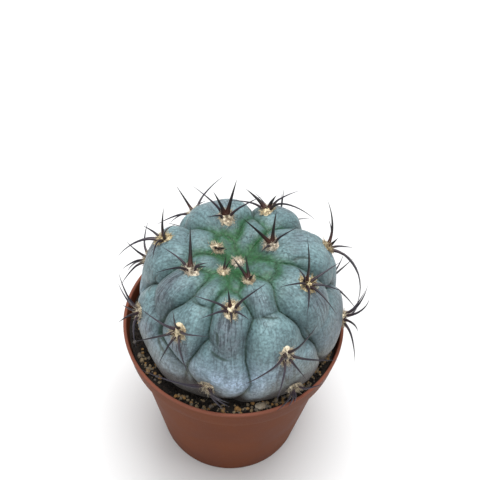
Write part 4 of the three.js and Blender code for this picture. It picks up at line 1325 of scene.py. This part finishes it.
def soil_radius(z):
    """The pot's inner wall at a height, less the gap."""
    lower = FOOT_R + (SHOULDER_R - FOOT_R) * z / BAND_Z
    upper = BAND_LOWER_R + (LIP_R - BAND_LOWER_R) * (z - BAND_Z) / BAND_H
    return (lower if z < BAND_Z + WALL else upper) - WALL - GAP


def ring(radius, height):
    """Points round the pot's axis, azimuth by azimuth, in the plant's own sense."""
    return direction(soil_azimuth, 90) * radius + [0, 0, height]


def bed_rows():
    """Rows of rings: the underside, up the wall, in over the top, and down the hollow."""
    shelf = BAND_Z + WALL + GAP
    base = UNDER_STEP + WALL + GAP
    wall = [
        ring(UNDER_DISC_R - 0.8, WALL + GAP), ring(UNDER_DISC_R + 0.9, base),
        ring(soil_radius(base) - 0.2, base), ring(soil_radius(shelf - 2 * GAP) - 0.2, shelf),
        ring(BAND_LOWER_R - WALL - GAP, shelf),
    ]
    probe = np.linspace(96, 112, 65)
    flank = skin(soil_azimuth[:, None], probe[None])
    low = np.abs(flank[..., 2] + CENTRE[2] - SOIL_Z + MEET_DOWN).argmin(1)
    meet = flank[np.arange(SOIL_COLUMNS), low] * (1 + MEET_OUT / GIRTH) + CENTRE
    edge = ring(soil_radius(SOIL_Z), SOIL_Z)
    top = edge + (meet - edge) * TOP_ROWS[:, None, None]
    top[..., 2] = soil_top(soil_azimuth, np.hypot(top[..., 0], top[..., 1]))
    heap = sum(depth * lumps(top, size, seed) for size, depth, seed in CRUMBLE)
    top[..., 2] += heap * smooth(0, 0.05, TOP_ROWS)[:, None]
    top[..., 2] -= WALL_SAG * (1 - smooth(0, 0.1, TOP_ROWS))[:, None]
    hollow_polar = np.broadcast_to(HOLLOW_ROWS[:, None], (len(HOLLOW_ROWS), SOIL_COLUMNS))
    hollow_skin = skin(soil_azimuth, hollow_polar)
    hollow = hollow_skin + unit(hollow_skin) * GAP + CENTRE
    return np.concatenate([np.array(wall), top, hollow])


soil_azimuth = np.arange(SOIL_COLUMNS) * 360 / SOIL_COLUMNS
rows = bed_rows()
# The root's tip is more than 30 mm from the middle, so this leaves a little more than the gap.
root_tip = skin(0.0, 180.0) * (1 + GAP / 30) + CENTRE
bed_points = np.concatenate([[[0, 0, WALL + GAP]], rows.reshape(-1, 3), [root_tip]])
bed_squares, bed_caps = closed_faces(len(rows), SOIL_COLUMNS)
print(len(bed_points), "points in the bed")

# %% [markdown]
# ## Crumbs and grains
#
# A grain is a ball of 20 faces with its corners moved in and out at random. That few are enough,
# because each grain is only a millimetre or two across. Every copy keeps a `tint`, so that one is
# ochre and the next grey, and a `grit` value that tells stone from peat.

# %% Strewing the grains
GRAIN_R, GRAIN_SHOWS, GRAIN_SEED = [0.8, 1.25], 0.35, 4711
GRAIN_DRIFTS = [[-74, -40, 9], [-36, 34, 11], [40, 80, 7], [90, 276, 9]]
GRIT_DRIFTS = [  # first and last azimuth, how many, and how near the wall they gather
    [-66, -46, 55, 1.4], [-30, 8, 60, 2.2], [8, 36, 50, 1.6], [44, 76, 80, 1.4],
    [84, 282, 90, 1.2],
]
CRUMB_COUNT = 2400
GRIT_R, CRUMB_R = (0.35, 0.95), (0.25, 0.75)
WALL_ROOM, BODY_ROOM = 0.5, 0.3
GRAIN_STRIP = 3  # how far from the wall the model's grains may lie


def ball():
    """The points and faces of a 20-sided ball of radius 1."""
    bpy.ops.mesh.primitive_ico_sphere_add(subdivisions=1, radius=1)
    made = bpy.context.object
    points = np.array([v.co for v in made.data.vertices])
    faces = np.array([list(p.vertices) for p in made.data.polygons])
    bpy.data.objects.remove(made)
    return points, faces


BALL, BALL_FACES = ball()


def strewn(spots, radii, seed, squash=0.75, rough=0.22):
    """One uneven ball at each spot: each is squashed, has its corners moved in or out, and is
    turned by a random turn."""
    rng = np.random.default_rng(seed)
    count = len(spots)
    uneven = 1 + rng.uniform(-rough, rough, (count, len(BALL), 1))
    shape = BALL * uneven * [1, 0.85, squash]
    q = unit(rng.normal(0, 1, (count, 4)))
    w, x, y, z = q.T
    turn = np.array([
        [1 - 2 * (y * y + z * z), 2 * (x * y - z * w), 2 * (x * z + y * w)],
        [2 * (x * y + z * w), 1 - 2 * (x * x + z * z), 2 * (y * z - x * w)],
        [2 * (x * z - y * w), 2 * (y * z + x * w), 1 - 2 * (x * x + y * y)],
    ]).transpose(2, 0, 1)
    shape = np.einsum("nij,nkj->nki", turn, shape)
    return shape * np.asarray(radii)[:, None, None] + spots[:, None]


def model_grains():
    """Spots and radii of the grains that the measured model has, by the same draws."""
    draw = draws(GRAIN_SEED)
    spots, radii = [], []
    for first, last, count in GRAIN_DRIFTS:
        for k in range(count):
            azimuth = between([first, last], (k + next(draw)) / count)
            r = between(GRAIN_R, next(draw))
            room = soil_radius(SOIL_Z) - r - GAP
            out = between([room - GRAIN_STRIP, room], math.sqrt(next(draw)))
            next(draw), next(draw)  # the model turns its grain by these two
            level = soil_top(azimuth, out) + GRAIN_SHOWS * r
            radii.append(r)
            spots.append(direction(azimuth, 90.0) * out + [0, 0, level])
    return np.array(spots), np.array(radii)


def flank_radius(azimuth):
    """How far from the pot's axis the flesh is at the soil's level, by azimuth."""
    return np.interp(azimuth % 360, np.append(soil_azimuth, 360),
                     np.append(flank_at_soil, flank_at_soil[0]))


inner_edge = rows[len(rows) - len(HOLLOW_ROWS) - 1]  # the last ring of the soil's top
flank_at_soil = np.hypot(inner_edge[:, 0], inner_edge[:, 1])


def scatter(drifts, radii, seed):
    """Spots between flesh and wall: azimuths spread over each drift, and a place across the strip
    that gathers towards the wall by a power."""
    rng = np.random.default_rng(seed)
    azimuth = np.concatenate([rng.uniform(a, b, n) for a, b, n, _ in drifts])
    power = np.concatenate([np.full(n, p) for _, _, n, p in drifts])
    radius = rng.uniform(*radii, len(azimuth))
    inner = flank_radius(azimuth) + BODY_ROOM + radius
    outer = soil_radius(SOIL_Z) - WALL_ROOM - radius
    share = rng.uniform(0, 1, len(azimuth)) ** (1 / power)
    out = inner + np.maximum(outer - inner, 0) * share
    level = soil_top(azimuth, out) + rng.uniform(0.0, 0.7, len(azimuth)) * radius
    spots = direction(azimuth, np.full(len(azimuth), 90.0)) * out[:, None]
    spots[:, 2] = level
    return spots, radius


def soil_piece():
    """The bed, the model's grains, finer grit and dark crumbs, all in one piece."""
    big, big_r = model_grains()
    grit, grit_r = scatter(GRIT_DRIFTS, GRIT_R, 31)
    crumbs, crumb_r = scatter([[-180, 180, CRUMB_COUNT, 1.0]], CRUMB_R, 32)
    spots = np.concatenate([big, grit, crumbs])
    radii = np.concatenate([big_r, grit_r, crumb_r])
    copies = strewn(spots, radii, 33)
    rng = np.random.default_rng(34)
    tint = rng.uniform(0, 1, len(spots))
    grit_share = np.concatenate([np.ones(len(big) + len(grit)), np.zeros(len(crumbs))])
    points = np.concatenate([bed_points, copies.reshape(-1, 3)])
    bed = len(bed_points)
    marks = {
        "tint": np.concatenate([np.full(bed, 0.5), np.repeat(tint, len(BALL))]),
        "grit": np.concatenate([np.zeros(bed), np.repeat(grit_share, len(BALL))]),
    }
    faces = [bed_squares, bed_caps, many(BALL_FACES, len(spots), len(BALL)) + bed]
    return new_piece("peat_bed", points, faces, marks)


print(len(BALL_FACES), "faces in one grain")

# %% [markdown]
# ## Peat and grit
#
# Wet peat is nearly black, with a few brown fibres. The grit is crushed pumice and lava: ochre,
# tan and grey. One finish serves both, and the values `grit` and `tint` choose between them.

# %% The soil's finish
def soil_finish():
    """Peat in near-black browns; grit from grey through tan to ochre by its tint."""
    f = Finish("peat_and_grit", Roughness=0.92)
    tint, grit = f.value("tint"), f.value("grit")
    fine = f.noise(0.6, 4)
    peat = f.mix(f.ramp(fine, 0.3, 0.7), (0.005, 0.004, 0.003), (0.024, 0.017, 0.012))
    peat = f.mix(f.ramp(tint, 0.75, 1.0, 0, 0.4), peat, (0.06, 0.036, 0.022))
    stone = f.mix(f.ramp(tint, 0.05, 0.45), (0.18, 0.16, 0.14), (0.30, 0.23, 0.14))
    stone = f.mix(f.ramp(tint, 0.6, 0.95), stone, (0.40, 0.22, 0.075))
    stone = f.mix(f.ramp(fine, 0.4, 0.75, 0, 0.6), stone, (0.06, 0.045, 0.03))
    color = f.mix(grit, peat, stone)
    return f.done(Base_Color=color, Normal=f.bump(fine, 0.12))


print(settle(soil_piece(), "soil", soil_finish()), "triangles of soil")

# %% [markdown]
# ## The pale stone
#
# One larger piece of pumice lies half sunk at the front. It is a finely divided ball, drawn out
# to the stone's three sizes, and pitted with two sizes of lumps.

# %% The stone
STONE_AZIMUTH, STONE_OUT = 17, 37.4
STONE_SIZES = np.array([2.4, 1.5, 1.1])
STONE_ROWS, STONE_COLUMNS = 44, 64
STONE_ABOVE = 0.4  # how far the stone's middle is above the soil's level


def stone_piece():
    """Directions of a fine ball times the three sizes, times one plus lumps."""
    around = np.arange(STONE_COLUMNS) * 360 / STONE_COLUMNS
    polar, azimuth = np.meshgrid(np.linspace(3, 177, STONE_ROWS), around, indexing="ij")
    rays = direction(azimuth, polar)
    bumps = 1 + 0.07 * lumps(rays * 4, 2.1, 61) + 0.04 * lumps(rays * 4, 0.8, 62)
    shape = np.concatenate([[[0, 0, 1.0]], (rays * bumps[..., None]).reshape(-1, 3), [[0, 0, -1.0]]])
    shape = (shape * STONE_SIZES) @ turn_about(2, math.radians(STONE_AZIMUTH)).T
    squares, caps = closed_faces(STONE_ROWS, STONE_COLUMNS)
    spot = direction(STONE_AZIMUTH, 90.0) * STONE_OUT + [0, 0, SOIL_Z + STONE_ABOVE]
    return new_piece("pumice_stone", shape + spot, [squares[:, ::-1], caps[:, ::-1]])


def stone_finish():
    """Cream and tan clouds with dark pits."""
    f = Finish("pale_pumice", Roughness=0.9)
    cloud, pits = f.noise(1.6, 4), f.noise(0.35, 3)
    color = f.mix(f.ramp(cloud, 0.35, 0.65), (0.44, 0.36, 0.26), (0.60, 0.53, 0.42))
    color = f.mix(f.ramp(pits, 0.58, 0.72, 0, 0.7), color, (0.14, 0.10, 0.07))
    return f.done(Base_Color=color, Normal=f.bump(pits, 0.12))


print(settle(stone_piece(), "pale_stone", stone_finish()), "triangles in the stone")
